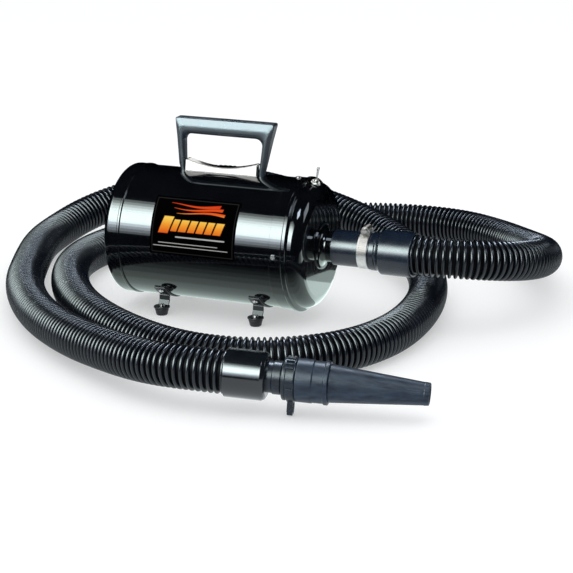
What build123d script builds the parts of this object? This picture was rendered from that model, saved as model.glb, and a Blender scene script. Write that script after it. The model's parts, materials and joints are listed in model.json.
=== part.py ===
"""Pet dryer: a cylindrical steel blower with a carry handle, a long corrugated
hose and a rubber air nozzle. Millimetres, +Z up, +X towards the air outlet,
-Y is the label side. The origin is the centre of the blower's footprint."""
import os
from math import atan2, cos, degrees, pi, radians, sin, sqrt, tan

from build123d import *

os.makedirs("parts", exist_ok=True)

# ---------------------------------------------------------------- dimensions
x_mid = 186.75            # blower's mid length, counted from the rear cap's edge
axis_z = 97.5            # height of the blower's axis above the floor
r_shell = 82.5           # housing outside radius (6.5 in body)
t_shell = 1.2            # sheet steel thickness
x_shell_0, x_shell_1 = 5.0, 236.0
x_face = 261.0           # front cap's flat face
r_neck, r_neck_bore = 19.0, 17.2
x_cuff_0, x_cuff_1 = 278.0, 382.0
r_cuff_small, r_cuff_big = 22.3, 28.0
r_hose, t_hose = 25.0, 2.5
x_clamp_0, x_clamp_1 = 313.0, 325.5
x_feet = (61.3, 190.8)   # foot stations along the body
y_feet = 51.8
h_foot, r_foot_top, r_foot_low = 9.0, 9.0, 7.4
strap_w, strap_t = 15.0, 2.0
leg_depth = 13.0         # handle legs, across the body
grip_depth = 17.0        # handle bar
screw_angles = (-2.0, 88.0, 178.0, 268.0)   # front band screws, from the top
x_band_screw = 227.0
vent_rings = ((14, 6), (24, 12), (34, 18), (44, 24))
r_vent = 3.0
switch_tilt = 22.0       # switch axis, from vertical towards the outlet
switch_throw = 13.0      # lever to each side of the switch axis
nozzle_heading, nozzle_drop = 11.3, 3.0
nozzle_at = (345.8, -333.1, 40.0)           # centre of the lock ring
r_tip = 12.0

body_axis = Axis((0, 0, axis_z), (1, 0, 0))


def X(v):
    """Length station to the part's own X."""
    return v - x_mid


def prof(points):
    """(station, radius) pairs to points in the XZ plane, above the body axis."""
    return [(X(x), axis_z + r) for x, r in points]


def around(angle, r, x):
    """A point on the body: angle from the top towards -Y."""
    a = radians(angle)
    return (X(x), -r * sin(a), axis_z + r * cos(a))


def radial(angle, r, x):
    """Plane on the body's skin whose Z points outwards."""
    a = radians(angle)
    return Plane(origin=around(angle, r, x), x_dir=(1, 0, 0), z_dir=(0, -sin(a), cos(a)))


pieces = []


def finish(builder, name):
    builder.part.label = name
    export_step(builder.part, "parts/" + name + ".step")
    pieces.append(name)


# ---------------------------------------------------------------- blower shell
handle_screw_x = (72.1, 178.8)
rivet_angle = 141.0

with BuildPart() as housing:
    with BuildSketch(Plane.XZ):
        with BuildLine():
            Polyline(*prof([(x_shell_0, r_shell - t_shell), (x_shell_0, r_shell),
                            (x_shell_1, r_shell), (x_shell_1, r_shell - t_shell)]), close=True)
        make_face()
    revolve(axis=body_axis)
    for a in screw_angles:
        with BuildSketch(radial(a, r_shell - 4, x_band_screw)):
            Circle(1.9)
        extrude(amount=8, mode=Mode.SUBTRACT)
    for x in handle_screw_x:
        with BuildSketch(radial(0, r_shell - 4, x)):
            Circle(1.75)
        extrude(amount=8, mode=Mode.SUBTRACT)
    for x in x_feet:
        for a in (rivet_angle, -rivet_angle):
            with BuildSketch(radial(a, r_shell - 4, x)):
                Circle(2.0)
            extrude(amount=8, mode=Mode.SUBTRACT)
finish(housing, "housing")

with BuildPart() as rear_cap:
    with BuildSketch(Plane.XZ):
        with BuildLine():
            o = prof([(16, 82.6), (16, 83.5), (3.5, 83.5), (-5.5, 74.5), (-5.5, 0),
                      (-4.3, 0), (-4.3, 74.5), (3.5, 82.6)])
            mid_o = prof([(3.5 - 9 * cos(radians(45)), 74.5 + 9 * sin(radians(45)))])[0]
            mid_i = prof([(3.5 - 7.9 * cos(radians(45)), 74.5 + 7.95 * sin(radians(45)))])[0]
            Line(o[0], o[1])
            Line(o[1], o[2])
            ThreePointArc(o[2], mid_o, o[3])
            Line(o[3], o[4])
            Line(o[4], o[5])
            Line(o[5], o[6])
            ThreePointArc(o[6], mid_i, o[7])
            Line(o[7], o[0])
        make_face()
    revolve(axis=body_axis)
    with BuildSketch(Plane(origin=(X(-8), 0, axis_z), x_dir=(0, 1, 0), z_dir=(1, 0, 0))):
        for r, n in vent_rings:
            with PolarLocations(r, n):
                Circle(r_vent)
        with Locations((0, -62)):
            Circle(8.0)
    extrude(amount=6, mode=Mode.SUBTRACT)
finish(rear_cap, "rear_cap")

with BuildPart() as front_cap:
    with BuildSketch(Plane.XZ):
        with BuildLine():
            q = prof([(220.5, 82.6), (220.5, 83.5), (236.5, 83.5), (243.5, 81.2), (244.0, 80.0),
                      (261.0, 63.0), (261.0, 19.6), (259.8, 19.6), (259.8, 63.0), (244.0, 78.8),
                      (237.5, 78.8), (237.5, 82.6)])
            bead = prof([(240.0, 85.2)])[0]
            s45 = sin(radians(45))
            sh_o = prof([(244 + 17 * s45, 63 + 17 * s45)])[0]
            sh_i = prof([(244 + 15.8 * s45, 63 + 15.8 * s45)])[0]
            Line(q[0], q[1])
            Line(q[1], q[2])
            ThreePointArc(q[2], bead, q[3])
            Line(q[3], q[4])
            ThreePointArc(q[4], sh_o, q[5])
            Line(q[5], q[6])
            Line(q[6], q[7])
            Line(q[7], q[8])
            ThreePointArc(q[8], sh_i, q[9])
            Line(q[9], q[10])
            Line(q[10], q[11])
            Line(q[11], q[0])
        make_face()
    revolve(axis=body_axis)
    for a in screw_angles:
        with BuildSketch(radial(a, r_shell - 1, x_band_screw)):
            Circle(1.9)
        extrude(amount=5, mode=Mode.SUBTRACT)
    # seat and hole for the toggle switch
    st = radians(switch_tilt)
    sw_dir = (sin(st), 0, cos(st))
    sw_base = (X(244 + 17 * sin(st)), 0, axis_z + 63 + 17 * cos(st))
    with BuildSketch(Plane(origin=tuple(b - 6 * d for b, d in zip(sw_base, sw_dir)),
                           x_dir=(cos(st), 0, -sin(st)), z_dir=sw_dir)):
        Circle(3.4)
    extrude(amount=12, mode=Mode.SUBTRACT)
finish(front_cap, "front_cap")

with BuildPart() as outlet_neck:
    with BuildSketch(Plane.XZ):
        with BuildLine():
            n = prof([(261, 17.2), (261, 29), (262.2, 29), (262.6, 27), (270.6, 19), (326, 19),
                      (326, 17.2)])
            fil = prof([(270.6 - 8 * sin(radians(45)), 27 - 8 * sin(radians(45)))])[0]
            Line(n[0], n[1])
            Line(n[1], n[2])
            Line(n[2], n[3])
            ThreePointArc(n[3], fil, n[4])
            Line(n[4], n[5])
            Line(n[5], n[6])
            Line(n[6], n[0])
        make_face()
    revolve(axis=body_axis)
    # the flange is spot welded to the cap
finish(outlet_neck, "outlet_neck")

with BuildPart() as band_screws:
    for a in screw_angles:
        with BuildSketch(radial(a, 83.55, x_band_screw)):
            Circle(3.6)
        extrude(amount=2.0, taper=18)
        with BuildSketch(radial(a, 75.5, x_band_screw)):
            Circle(1.8)
        extrude(amount=8.1)
        with BuildSketch(radial(a, 84.6, x_band_screw)):
            Rectangle(4.2, 0.8)
            Rectangle(0.8, 4.2)
        extrude(amount=2, mode=Mode.SUBTRACT)
finish(band_screws, "band_screws")

with BuildPart() as badge:
    with BuildSketch(Plane.YZ.offset(X(61))):
        with BuildLine():
            a0, a1 = radians(43.5), radians(95.5)
            am = (a0 + a1) / 2
            ri, ro = 82.55, 82.95
            pt = lambda r, a: (-r * sin(a), axis_z + r * cos(a))
            ThreePointArc(pt(ri, a0), pt(ri, am), pt(ri, a1))
            Line(pt(ri, a1), pt(ro, a1))
            ThreePointArc(pt(ro, a1), pt(ro, am), pt(ro, a0))
            Line(pt(ro, a0), pt(ri, a0))
        make_face()
    extrude(amount=114.5)
finish(badge, "front_badge")

with BuildPart() as gland:
    with BuildSketch(Plane(origin=(X(-8.5), 0, axis_z - 62), x_dir=(0, 1, 0), z_dir=(1, 0, 0))):
        Circle(10.5)
    extrude(amount=2.9)
    with BuildSketch(Plane(origin=(X(-5.6), 0, axis_z - 62), x_dir=(0, 1, 0), z_dir=(1, 0, 0))):
        Circle(7.9)
    extrude(amount=1.4)
    with BuildSketch(Plane(origin=(X(-4.2), 0, axis_z - 62), x_dir=(0, 1, 0), z_dir=(1, 0, 0))):
        Circle(9.6)
    extrude(amount=2.2)
    with BuildSketch(Plane(origin=(X(-9), 0, axis_z - 62), x_dir=(0, 1, 0), z_dir=(1, 0, 0))):
        Circle(4.6)
    extrude(amount=10, mode=Mode.SUBTRACT)
finish(gland, "cord_gland")

# ---------------------------------------------------------------- carry handle
with BuildPart() as handle:
    # frame: two raked legs and a bar, round a hand opening
    with BuildSketch(Plane.XZ.offset(-leg_depth / 2)):
        with BuildLine():
            Polyline((X(64.0), 246.5), (X(198.2), 246.5), (X(192.7), 225), (X(184.0), 190),
                     (X(182.2), 182), (X(182.2), 176), (X(175.6), 176), (X(175.8), 182),
                     (X(177.7), 197), (X(181.1), 221), (X(173.0), 227.4), (X(84.5), 227.6),
                     (X(75.0), 219), (X(75.2), 192), (X(75.4), 182), (X(75.4), 176),
                     (X(68.8), 176), (X(68.8), 183), (X(66.9), 187.5), (X(65.0), 225),
                     close=True)
        make_face()
    extrude(amount=leg_depth)
    # fuller grip along the bar
    with BuildSketch(Plane.XZ.offset(-grip_depth / 2)):
        with BuildLine():
            Polyline((X(65.0), 229.0), (X(193.4), 229.0), (X(197.4), 245.0), (X(63.9), 245.0),
                     close=True)
        make_face()
    extrude(amount=grip_depth)
    with BuildSketch(Plane.XZ.offset(-6.0)):
        with BuildLine():
            Polyline((X(63.9), 245.0), (X(198.0), 245.0), (X(198.8), 248.0), (X(63.3), 248.0),
                     close=True)
        make_face()
    extrude(amount=12)
    # feet of the legs sit on the round housing
    with BuildSketch(Plane.YZ.offset(X(50))):
        with Locations((0, axis_z)):
            Circle(r_shell + 0.05)
    extrude(amount=160, mode=Mode.SUBTRACT)
    for x in handle_screw_x:
        with BuildSketch(radial(0, r_shell - 2, x)):
            Circle(1.55)
        extrude(amount=18, mode=Mode.SUBTRACT)
finish(handle, "carry_handle")

with BuildPart() as handle_screws:
    for x in handle_screw_x:
        with BuildSketch(radial(0, r_shell - t_shell - 3.0, x)):
            Circle(3.2)
        extrude(amount=2.6)
        with BuildSketch(radial(0, r_shell - t_shell - 1, x)):
            Circle(1.5)
        extrude(amount=17)
finish(handle_screws, "handle_screws")

with BuildPart() as saddle:
    # chromed cradle between the legs, dished lengthwise, hollow underneath
    with BuildSketch(Plane.YZ.offset(X(76.0))):
        with BuildLine():
            Polyline((-8.6, 176), (-5.8, 196.5), (5.8, 196.5), (8.6, 176), close=True)
        make_face()
    extrude(amount=99.2)
    with BuildSketch(Plane.YZ.offset(X(77.4))):
        with BuildLine():
            Polyline((-7.2, 175), (-4.5, 195.1), (4.5, 195.1), (7.2, 175), close=True)
        make_face()
    extrude(amount=96.4, mode=Mode.SUBTRACT)
    with BuildSketch(Plane.XZ.offset(-20)):
        with BuildLine():
            ThreePointArc((X(76.0), 195.6), (X(125.6), 187.0), (X(175.2), 195.6))
            Line((X(175.2), 195.6), (X(178), 195.6))
            Line((X(178), 195.6), (X(178), 200))
            Line((X(178), 200), (X(74), 200))
            Line((X(74), 200), (X(74), 195.6))
            Line((X(74), 195.6), (X(76.0), 195.6))
        make_face()
    extrude(amount=40, mode=Mode.SUBTRACT)
    with BuildSketch(Plane.XZ.offset(-5.3)):
        with BuildLine():
            arc_o = ThreePointArc((X(76.8), 195.4), (X(125.6), 187.0), (X(174.4), 195.4))
            Line((X(174.4), 195.4), (X(174.4), 194.0))
            ThreePointArc((X(174.4), 194.0), (X(125.6), 185.6), (X(76.8), 194.0))
            Line((X(76.8), 194.0), (X(76.8), 195.4))
        make_face()
    extrude(amount=10.6)
    with BuildSketch(Plane.YZ.offset(X(70))):
        with Locations((0, axis_z)):
            Circle(r_shell + 0.05)
    extrude(amount=120, mode=Mode.SUBTRACT)
finish(saddle, "handle_saddle")

# ---------------------------------------------------------------- feet
strap_in = r_shell + 0.05
strap_out = strap_in + strap_t
rivets = []
for i, xf in enumerate(x_feet):
    with BuildPart() as bracket:
        # strap round the underside of the body
        with BuildSketch(Plane.YZ.offset(X(xf) - strap_w / 2)):
            with BuildLine():
                b = radians(150.0)
                pt = lambda r, a: (-r * sin(a), axis_z + r * cos(a))
                ThreePointArc(pt(strap_in, b), pt(strap_in, pi), pt(strap_in, -b))
                Line(pt(strap_in, -b), pt(strap_out, -b))
                ThreePointArc(pt(strap_out, -b), pt(strap_out, pi), pt(strap_out, b))
                Line(pt(strap_out, b), pt(strap_in, b))
            make_face()
        extrude(amount=strap_w)
        for s in (1, -1):
            # upstanding flange with the rivet
            with BuildSketch(Plane.YZ.offset(X(xf) - strap_w / 2)):
                with BuildLine():
                    a0, a1 = radians(s * 136.0), radians(s * 151.0)
                    am = (a0 + a1) / 2
                    ThreePointArc(pt(strap_in, a0), pt(strap_in, am), pt(strap_in, a1))
                    Line(pt(strap_in, a1), pt(strap_out, a1))
                    ThreePointArc(pt(strap_out, a1), pt(strap_out, am), pt(strap_out, a0))
                    Line(pt(strap_out, a0), pt(strap_in, a0))
                make_face()
            extrude(amount=strap_w)
            # web down to the foot, bent outwards
            with BuildSketch(Plane.YZ.offset(X(xf) - strap_w / 2)):
                with BuildLine():
                    Polyline((-s * 41.2, 25.4), (-s * 43.2, 26.4), (-s * 43.2, 18.0),
                             (-s * 47.4, 11.2), (-s * 47.4, 9.2), (-s * 46.0, 9.2),
                             (-s * 41.2, 17.2), close=True)
                make_face()
            extrude(amount=strap_w)
            # round tab over the rubber foot
            with BuildSketch(Plane.XY.offset(9.2)):
                with Locations((X(xf), -s * y_feet)):
                    Circle(10.4)
            extrude(amount=strap_t)
            with BuildSketch(Plane.XY.offset(8)):
                with Locations((X(xf), -s * y_feet)):
                    Circle(2.3)
            extrude(amount=5, mode=Mode.SUBTRACT)
            with BuildSketch(radial(s * rivet_angle, r_shell - 2, xf)):
                Circle(2.0)
            extrude(amount=6, mode=Mode.SUBTRACT)
    finish(bracket, "foot_bracket_rear" if i == 0 else "foot_bracket_front")

with BuildPart() as bracket_rivets:
    for xf in x_feet:
        for s in (1, -1):
            with BuildSketch(radial(s * rivet_angle, r_shell - 3.0, xf)):
                Circle(1.95)
            extrude(amount=5.2)
            with BuildSketch(radial(s * rivet_angle, strap_out + 0.1, xf)):
                Circle(3.4)
            extrude(amount=1.5, taper=25)
            with BuildSketch(radial(s * rivet_angle, r_shell - 4.4, xf)):
                Circle(3.2)
            extrude(amount=1.6)
finish(bracket_rivets, "bracket_rivets")

foot_names = ("rubber_foot_rear_left", "rubber_foot_rear_right",
              "rubber_foot_front_left", "rubber_foot_front_right")
for i, (xf, s) in enumerate([(x, s) for x in x_feet for s in (1, -1)]):
    with BuildPart() as foot:
        with BuildSketch(Plane(origin=(X(xf), -s * y_feet, 0), x_dir=(1, 0, 0), z_dir=(0, -1, 0))):
            with BuildLine():
                Polyline((2.3, 2.2), (4.4, 2.2), (4.4, 0.0), (r_foot_low - 1.0, 0.0),
                         (r_foot_low, 1.0), (r_foot_top, h_foot - 1.2), (r_foot_top - 0.6, h_foot),
                         (2.3, h_foot), close=True)
            make_face()
        revolve(axis=Axis((X(xf), -s * y_feet, 0), (0, 0, 1)))
    finish(foot, foot_names[i])

with BuildPart() as foot_screws:
    for xf in x_feet:
        for s in (1, -1):
            with BuildSketch(Plane(origin=(X(xf), -s * y_feet, 11.25), z_dir=(0, 0, 1))):
                Circle(3.9)
            extrude(amount=2.3, taper=18)
            with BuildSketch(Plane(origin=(X(xf), -s * y_feet, 1.2), z_dir=(0, 0, 1))):
                Circle(2.2)
            extrude(amount=10.1)
            with BuildSketch(Plane(origin=(X(xf), -s * y_feet, 12.6), z_dir=(0, 0, 1))):
                Rectangle(4.0, 0.8)
                Rectangle(0.8, 4.0)
            extrude(amount=2, mode=Mode.SUBTRACT)
            with BuildSketch(Plane(origin=(X(xf), -s * y_feet, 0.7), z_dir=(0, 0, 1))):
                Circle(4.1)
            extrude(amount=1.4)
finish(foot_screws, "foot_screws")

# ---------------------------------------------------------------- toggle switch
sw_x = (cos(st), 0, -sin(st))


def sw_plane(h):
    return Plane(origin=tuple(b + h * d for b, d in zip(sw_base, sw_dir)), x_dir=sw_x, z_dir=sw_dir)


with BuildPart() as switch_body:
    with BuildSketch(sw_plane(-20)):
        RectangleRounded(13, 12, 1.0)
    extrude(amount=17)
    for dy in (-3.5, 3.5):
        with BuildSketch(sw_plane(-26)):
            with Locations((0, dy)):
                Rectangle(4.5, 0.9)
        extrude(amount=6.5)
finish(switch_body, "switch_body")

with BuildPart() as switch_bushing:
    with BuildSketch(sw_plane(-2.9)):
        Circle(3.15)
    extrude(amount=9.4)
    with BuildSketch(sw_plane(1.6)):
        Circle(1.95)
    extrude(amount=6, mode=Mode.SUBTRACT)
    with BuildSketch(sw_plane(5.0)):
        Circle(2.5)
    extrude(amount=2, mode=Mode.SUBTRACT)
finish(switch_bushing, "switch_bushing")

with BuildPart() as switch_nut:
    with BuildSketch(sw_plane(1.1)):
        RegularPolygon(5.6, 6)
        Circle(3.2, mode=Mode.SUBTRACT)
    extrude(amount=2.2)
    with BuildSketch(sw_plane(0.4)):
        Circle(6.2)
        Circle(3.2, mode=Mode.SUBTRACT)
    extrude(amount=0.65)
finish(switch_nut, "switch_nut")

lever_tilt = radians(switch_tilt - switch_throw)
lv_dir = (sin(lever_tilt), 0, cos(lever_tilt))
sw_pivot = tuple(b + 3.6 * d for b, d in zip(sw_base, sw_dir))
with BuildPart() as switch_lever:
    with BuildSketch(Plane(origin=sw_pivot, x_dir=lv_dir, z_dir=(0, -1, 0))):
        with BuildLine():
            Polyline((0, 0), (16.4, 0), (16.4, 1.9), (1.2, 1.0), (0, 1.0), close=True)
        make_face()
    revolve(axis=Axis(sw_pivot, lv_dir))
    with Locations(sw_pivot):
        Sphere(1.89)
    with Locations(tuple(p + 16.4 * d for p, d in zip(sw_pivot, lv_dir))):
        Sphere(1.9)
finish(switch_lever, "switch_lever")

# ---------------------------------------------------------------- hose joint at the outlet
with BuildPart() as inlet_cuff:
    with BuildSketch(Plane.XZ):
        with BuildLine():
            Polyline(*prof([(x_cuff_0, 19.1), (x_cuff_0, 21.9), (x_cuff_0 + 0.6, r_cuff_small),
                            (327, r_cuff_small), (328.2, 24.0), (334.4, 24.0), (335.6, 23.2),
                            (337.0, 23.6), (341.5, r_cuff_big), (381.2, r_cuff_big),
                            (x_cuff_1, 27.2), (x_cuff_1, 25.15), (372, 25.15), (372, 21.0),
                            (340, 21.0), (331, 19.1)]), close=True)
        make_face()
    revolve(axis=body_axis)
finish(inlet_cuff, "dryer_end_cuff")

with BuildPart() as clamp_band:
    with BuildSketch(Plane.XZ):
        with BuildLine():
            Polyline(*prof([(x_clamp_0, 22.35), (x_clamp_0, 23.45), (x_clamp_0 + 0.7, 23.15),
                            (x_clamp_1 - 0.7, 23.15), (x_clamp_1, 23.45), (x_clamp_1, 22.35)]),
                     close=True)
        make_face()
    revolve(axis=body_axis)
    # band tail lifting off behind the screw
    with BuildSketch(Plane.YZ.offset(X(x_clamp_0) + 0.8)):
        with BuildLine():
            Polyline((8.6, axis_z + 21.9), (8.6, axis_z + 22.6), (17.5, axis_z + 20.4),
                     (17.5, axis_z + 19.6), (13.0, axis_z + 19.0), close=True)
        make_face()
    extrude(amount=x_clamp_1 - x_clamp_0 - 1.6)
    # worm slots
    for k in range(9):
        with BuildSketch(radial(-24 + 6 * k, 21.0, 319.25)):
            Rectangle(7.0, 1.1)
        extrude(amount=4, mode=Mode.SUBTRACT)
    with BuildSketch(Plane.XZ):
        with BuildLine():
            Polyline(*prof([(x_clamp_0 - 2, 0), (x_clamp_0 - 2, 22.35), (x_clamp_1 + 2, 22.35),
                            (x_clamp_1 + 2, 0)]), close=True)
        make_face()
    revolve(axis=body_axis, mode=Mode.SUBTRACT)
finish(clamp_band, "hose_clamp_band")

z_worm = axis_z + 27.2
with BuildPart() as clamp_housing:
    with BuildSketch(Plane.XZ.offset(-8.0)):
        with BuildLine():
            Line((X(313.4), axis_z + 21.0), (X(313.4), z_worm))
            Line((X(313.4), z_worm), (X(314.6), z_worm))
            ThreePointArc((X(314.6), z_worm), (X(319.25), z_worm + 4.65), (X(323.9), z_worm))
            Line((X(323.9), z_worm), (X(325.1), z_worm))
            Line((X(325.1), z_worm), (X(325.1), axis_z + 21.0))
            Line((X(325.1), axis_z + 21.0), (X(313.4), axis_z + 21.0))
        make_face()
    extrude(amount=16)
    with BuildSketch(Plane.XZ.offset(-9.0)):
        with Locations((X(319.25), z_worm)):
            Circle(3.3)
    extrude(amount=18, mode=Mode.SUBTRACT)
    with BuildSketch(Plane.YZ.offset(X(310))):
        with Locations((0, axis_z)):
            Circle(23.5)
    extrude(amount=20, mode=Mode.SUBTRACT)
finish(clamp_housing, "hose_clamp_housing")

with BuildPart() as clamp_screw:
    with BuildSketch(Plane(origin=(X(319.25), 7.6, z_worm), x_dir=(1, 0, 0), z_dir=(0, -1, 0))):
        Circle(3.25)
    extrude(amount=16.2)
    with BuildSketch(Plane(origin=(X(319.25), -8.4, z_worm), x_dir=(1, 0, 0), z_dir=(0, -1, 0))):
        Circle(4.7)
    extrude(amount=1.0)
    with BuildSketch(Plane(origin=(X(319.25), -9.4, z_worm), x_dir=(1, 0, 0), z_dir=(0, -1, 0))):
        RegularPolygon(4.1, 6)
    extrude(amount=4.4)
    with BuildSketch(Plane(origin=(X(319.25), -12.3, z_worm), x_dir=(1, 0, 0), z_dir=(0, -1, 0))):
        Rectangle(12, 0.9)
    extrude(amount=3, mode=Mode.SUBTRACT)
finish(clamp_screw, "hose_clamp_screw")

# ---------------------------------------------------------------- inside the shell
with BuildPart() as inlet_filter:
    with BuildSketch(Plane.XZ):
        with BuildLine():
            Polyline(*prof([(-3.9, 0), (-3.9, 51), (8, 51), (8, 0)]), close=True)
        make_face()
    revolve(axis=body_axis)
finish(inlet_filter, "inlet_filter")

with BuildPart() as filter_ring:
    with BuildSketch(Plane.XZ):
        with BuildLine():
            Polyline(*prof([(-4.0, 51.2), (-4.0, 58), (-3.0, 58), (-3.0, 52.4), (9.5, 52.4),
                            (9.5, 48), (8.3, 48), (8.3, 51.2)]), close=True)
        make_face()
    revolve(axis=body_axis)
    with BuildSketch(Plane(origin=(X(-6), 0, axis_z - 62), x_dir=(0, 1, 0), z_dir=(1, 0, 0))):
        Circle(10.2)
    extrude(amount=4.5, mode=Mode.SUBTRACT)
finish(filter_ring, "filter_ring")

with BuildPart() as fan_gasket:
    with BuildSketch(Plane.XZ):
        with BuildLine():
            Polyline(*prof([(86, 72.2), (86, 81.1), (90, 81.1), (91, 78.5), (95, 78.5), (96, 81.1),
                            (100, 81.1), (100, 72.2)]), close=True)
        make_face()
    revolve(axis=body_axis)
finish(fan_gasket, "fan_gasket")

with BuildPart() as fan_case:
    with BuildSketch(Plane.XZ):
        with BuildLine():
            Polyline(*prof([(58, 22), (58, 66), (62, 72), (112, 72), (112, 70.9), (62.6, 70.9),
                            (59.2, 65.6), (59.2, 22)]), close=True)
        make_face()
    revolve(axis=body_axis)
finish(fan_case, "fan_case")


def fan(x0, name):
    with BuildPart() as wheel:
        with BuildSketch(Plane.XZ):
            with BuildLine():
                Polyline(*prof([(x0 + 9.0, 4.0), (x0 + 9.0, 66), (x0 + 10.0, 66), (x0 + 10.0, 4.0)]),
                         close=True)
            make_face()
        revolve(axis=body_axis)
        with BuildSketch(Plane.XZ):
            with BuildLine():
                Polyline(*prof([(x0, 24), (x0 + 3.0, 66), (x0 + 4.0, 66), (x0 + 1.0, 24)]),
                         close=True)
            make_face()
        revolve(axis=body_axis)
        with BuildSketch(Plane.XZ):
            with BuildLine():
                Polyline(*prof([(x0 + 2.0, 4.0), (x0 + 2.0, 9), (x0 + 9.0, 12), (x0 + 9.0, 4.0)]),
                         close=True)
            make_face()
        revolve(axis=body_axis)
        with BuildSketch(Plane(origin=(X(x0 + 0.6), 0, axis_z), x_dir=(0, 1, 0), z_dir=(1, 0, 0))):
            with PolarLocations(0, 7):
                with BuildLine():
                    ThreePointArc((25, 0), (46, 12), (65.8, 6))
                    ThreePointArc((65.8, 6), (46.3, 10.6), (25, -1.2))
                    Line((25, -1.2), (25, 0))
                make_face()
        extrude(amount=8.6)
        # the blades follow the coned shroud
        with BuildSketch(Plane.XZ):
            with BuildLine():
                Polyline(*prof([(x0 - 3, 24), (x0 - 0.02, 24), (x0 + 2.98, 66), (x0 + 2.98, 70),
                                (x0 - 3, 70)]), close=True)
            make_face()
        revolve(axis=body_axis, mode=Mode.SUBTRACT)
    finish(wheel, name)


fan(64.0, "fan_wheel_1")
fan(92.0, "fan_wheel_2")

with BuildPart() as diffuser:
    with BuildSketch(Plane.XZ):
        with BuildLine():
            Polyline(*prof([(78.5, 13), (78.5, 70.6), (79.5, 70.6), (79.5, 13)]), close=True)
        make_face()
    revolve(axis=body_axis)
    with BuildSketch(Plane.XZ):
        with BuildLine():
            Polyline(*prof([(88.0, 26), (88.0, 70.6), (89.0, 70.6), (89.0, 26)]), close=True)
        make_face()
    revolve(axis=body_axis)
    with BuildSketch(Plane(origin=(X(79.3), 0, axis_z), x_dir=(0, 1, 0), z_dir=(1, 0, 0))):
        with PolarLocations(0, 8):
            with BuildLine():
                ThreePointArc((28, 0), (50, -10), (69, -2))
                ThreePointArc((69, -2), (50.4, -8.6), (28, 1.3))
                Line((28, 1.3), (28, 0))
            make_face()
    extrude(amount=8.9)
finish(diffuser, "stage_diffuser")

with BuildPart() as end_bracket:
    with BuildSketch(Plane.XZ):
        with BuildLine():
            Polyline(*prof([(112.2, 11.05), (112.2, 72), (114.2, 72), (114.2, 47), (121, 47),
                            (121, 45.2), (114.2, 45.2), (114.2, 15), (121, 15), (121, 11.05)]),
                     close=True)
        make_face()
    revolve(axis=body_axis)
    with BuildSketch(Plane(origin=(X(111), 0, axis_z), x_dir=(0, 1, 0), z_dir=(1, 0, 0))):
        with PolarLocations(59, 12):
            SlotOverall(18, 8, rotation=90)
        with PolarLocations(30, 6):
            Circle(7)
    extrude(amount=5, mode=Mode.SUBTRACT)
finish(end_bracket, "motor_end_bracket")

with BuildPart() as motor_frame:
    with BuildSketch(Plane.XZ):
        with BuildLine():
            Polyline(*prof([(114.6, 43.2), (114.6, 45.1), (182, 45.1), (186, 41), (186, 9.05),
                            (180, 9.05), (180, 13), (184, 13), (184, 40.2), (181.2, 43.2)]),
                     close=True)
        make_face()
    revolve(axis=body_axis)
    with BuildSketch(Plane(origin=(X(183), 0, axis_z), x_dir=(0, 1, 0), z_dir=(1, 0, 0))):
        with PolarLocations(26, 6, start_angle=30):
            Circle(6.5)
    extrude(amount=5, mode=Mode.SUBTRACT)
    for a in (0, 90, 180, 270):
        with BuildSketch(radial(a + 45, 40, 124)):
            SlotOverall(12, 7, rotation=90)
        extrude(amount=8, mode=Mode.SUBTRACT)
finish(motor_frame, "motor_frame")

with BuildPart() as stator_core:
    with BuildSketch(Plane(origin=(X(130), 0, axis_z), x_dir=(0, 1, 0), z_dir=(1, 0, 0))):
        Circle(43.0)
        Circle(38.0, mode=Mode.SUBTRACT)
        with Locations((0, 33.0), (0, -33.0)):
            Rectangle(26, 16)
        Circle(24.6, mode=Mode.SUBTRACT)
    extrude(amount=34)
finish(stator_core, "stator_core")

with BuildPart() as field_coils:
    for s in (1, -1):
        with BuildSketch(Plane(origin=(X(124), 0, axis_z), x_dir=(0, 1, 0), z_dir=(1, 0, 0))):
            for t in (1, -1):
                with BuildLine():
                    Polyline((t * 13.3, s * 28.4), (t * 13.3, s * 34.6), (t * 15.8, s * 33.9),
                             (t * 24.5, s * 28.0), (t * 23.5, s * 18.0), close=True)
                make_face()
        extrude(amount=46)
        with BuildSketch(Plane(origin=(X(124), 0, axis_z), x_dir=(0, 1, 0), z_dir=(1, 0, 0))):
            with Locations((0, s * 31.6)):
                Rectangle(30, 6)
        extrude(amount=5.6)
        with BuildSketch(Plane(origin=(X(164.4), 0, axis_z), x_dir=(0, 1, 0), z_dir=(1, 0, 0))):
            with Locations((0, s * 31.6)):
                Rectangle(30, 6)
        extrude(amount=5.6)
finish(field_coils, "field_coils")

with BuildPart() as armature:
    with BuildSketch(Plane(origin=(X(131), 0, axis_z), x_dir=(0, 1, 0), z_dir=(1, 0, 0))):
        Circle(24.0)
        with PolarLocations(21.5, 12):
            Rectangle(5.2, 2.2)
        Circle(4.0, mode=Mode.SUBTRACT)
    extrude(amount=32)
    with BuildSketch(Plane(origin=(X(131), 0, axis_z), x_dir=(0, 1, 0), z_dir=(1, 0, 0))):
        with PolarLocations(23.2, 12, start_angle=15):
            Rectangle(3.4, 2.0)
    extrude(amount=32, mode=Mode.SUBTRACT)
finish(armature, "armature_core")

with BuildPart() as commutator:
    with BuildSketch(Plane(origin=(X(166), 0, axis_z), x_dir=(0, 1, 0), z_dir=(1, 0, 0))):
        Circle(13.0)
        Circle(4.0, mode=Mode.SUBTRACT)
        with PolarLocations(13.0, 24):
            Rectangle(1.8, 0.5, mode=Mode.SUBTRACT)
    extrude(amount=12)
finish(commutator, "commutator")

with BuildPart() as motor_shaft:
    with BuildSketch(Plane(origin=(X(60), 0, axis_z), x_dir=(0, 1, 0), z_dir=(1, 0, 0))):
        Circle(3.97)
    extrude(amount=126)
    with BuildSketch(Plane(origin=(X(60.4), 0, axis_z), x_dir=(0, 1, 0), z_dir=(1, 0, 0))):
        RegularPolygon(7.0, 6)
    extrude(amount=5.4)
finish(motor_shaft, "motor_shaft")

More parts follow.
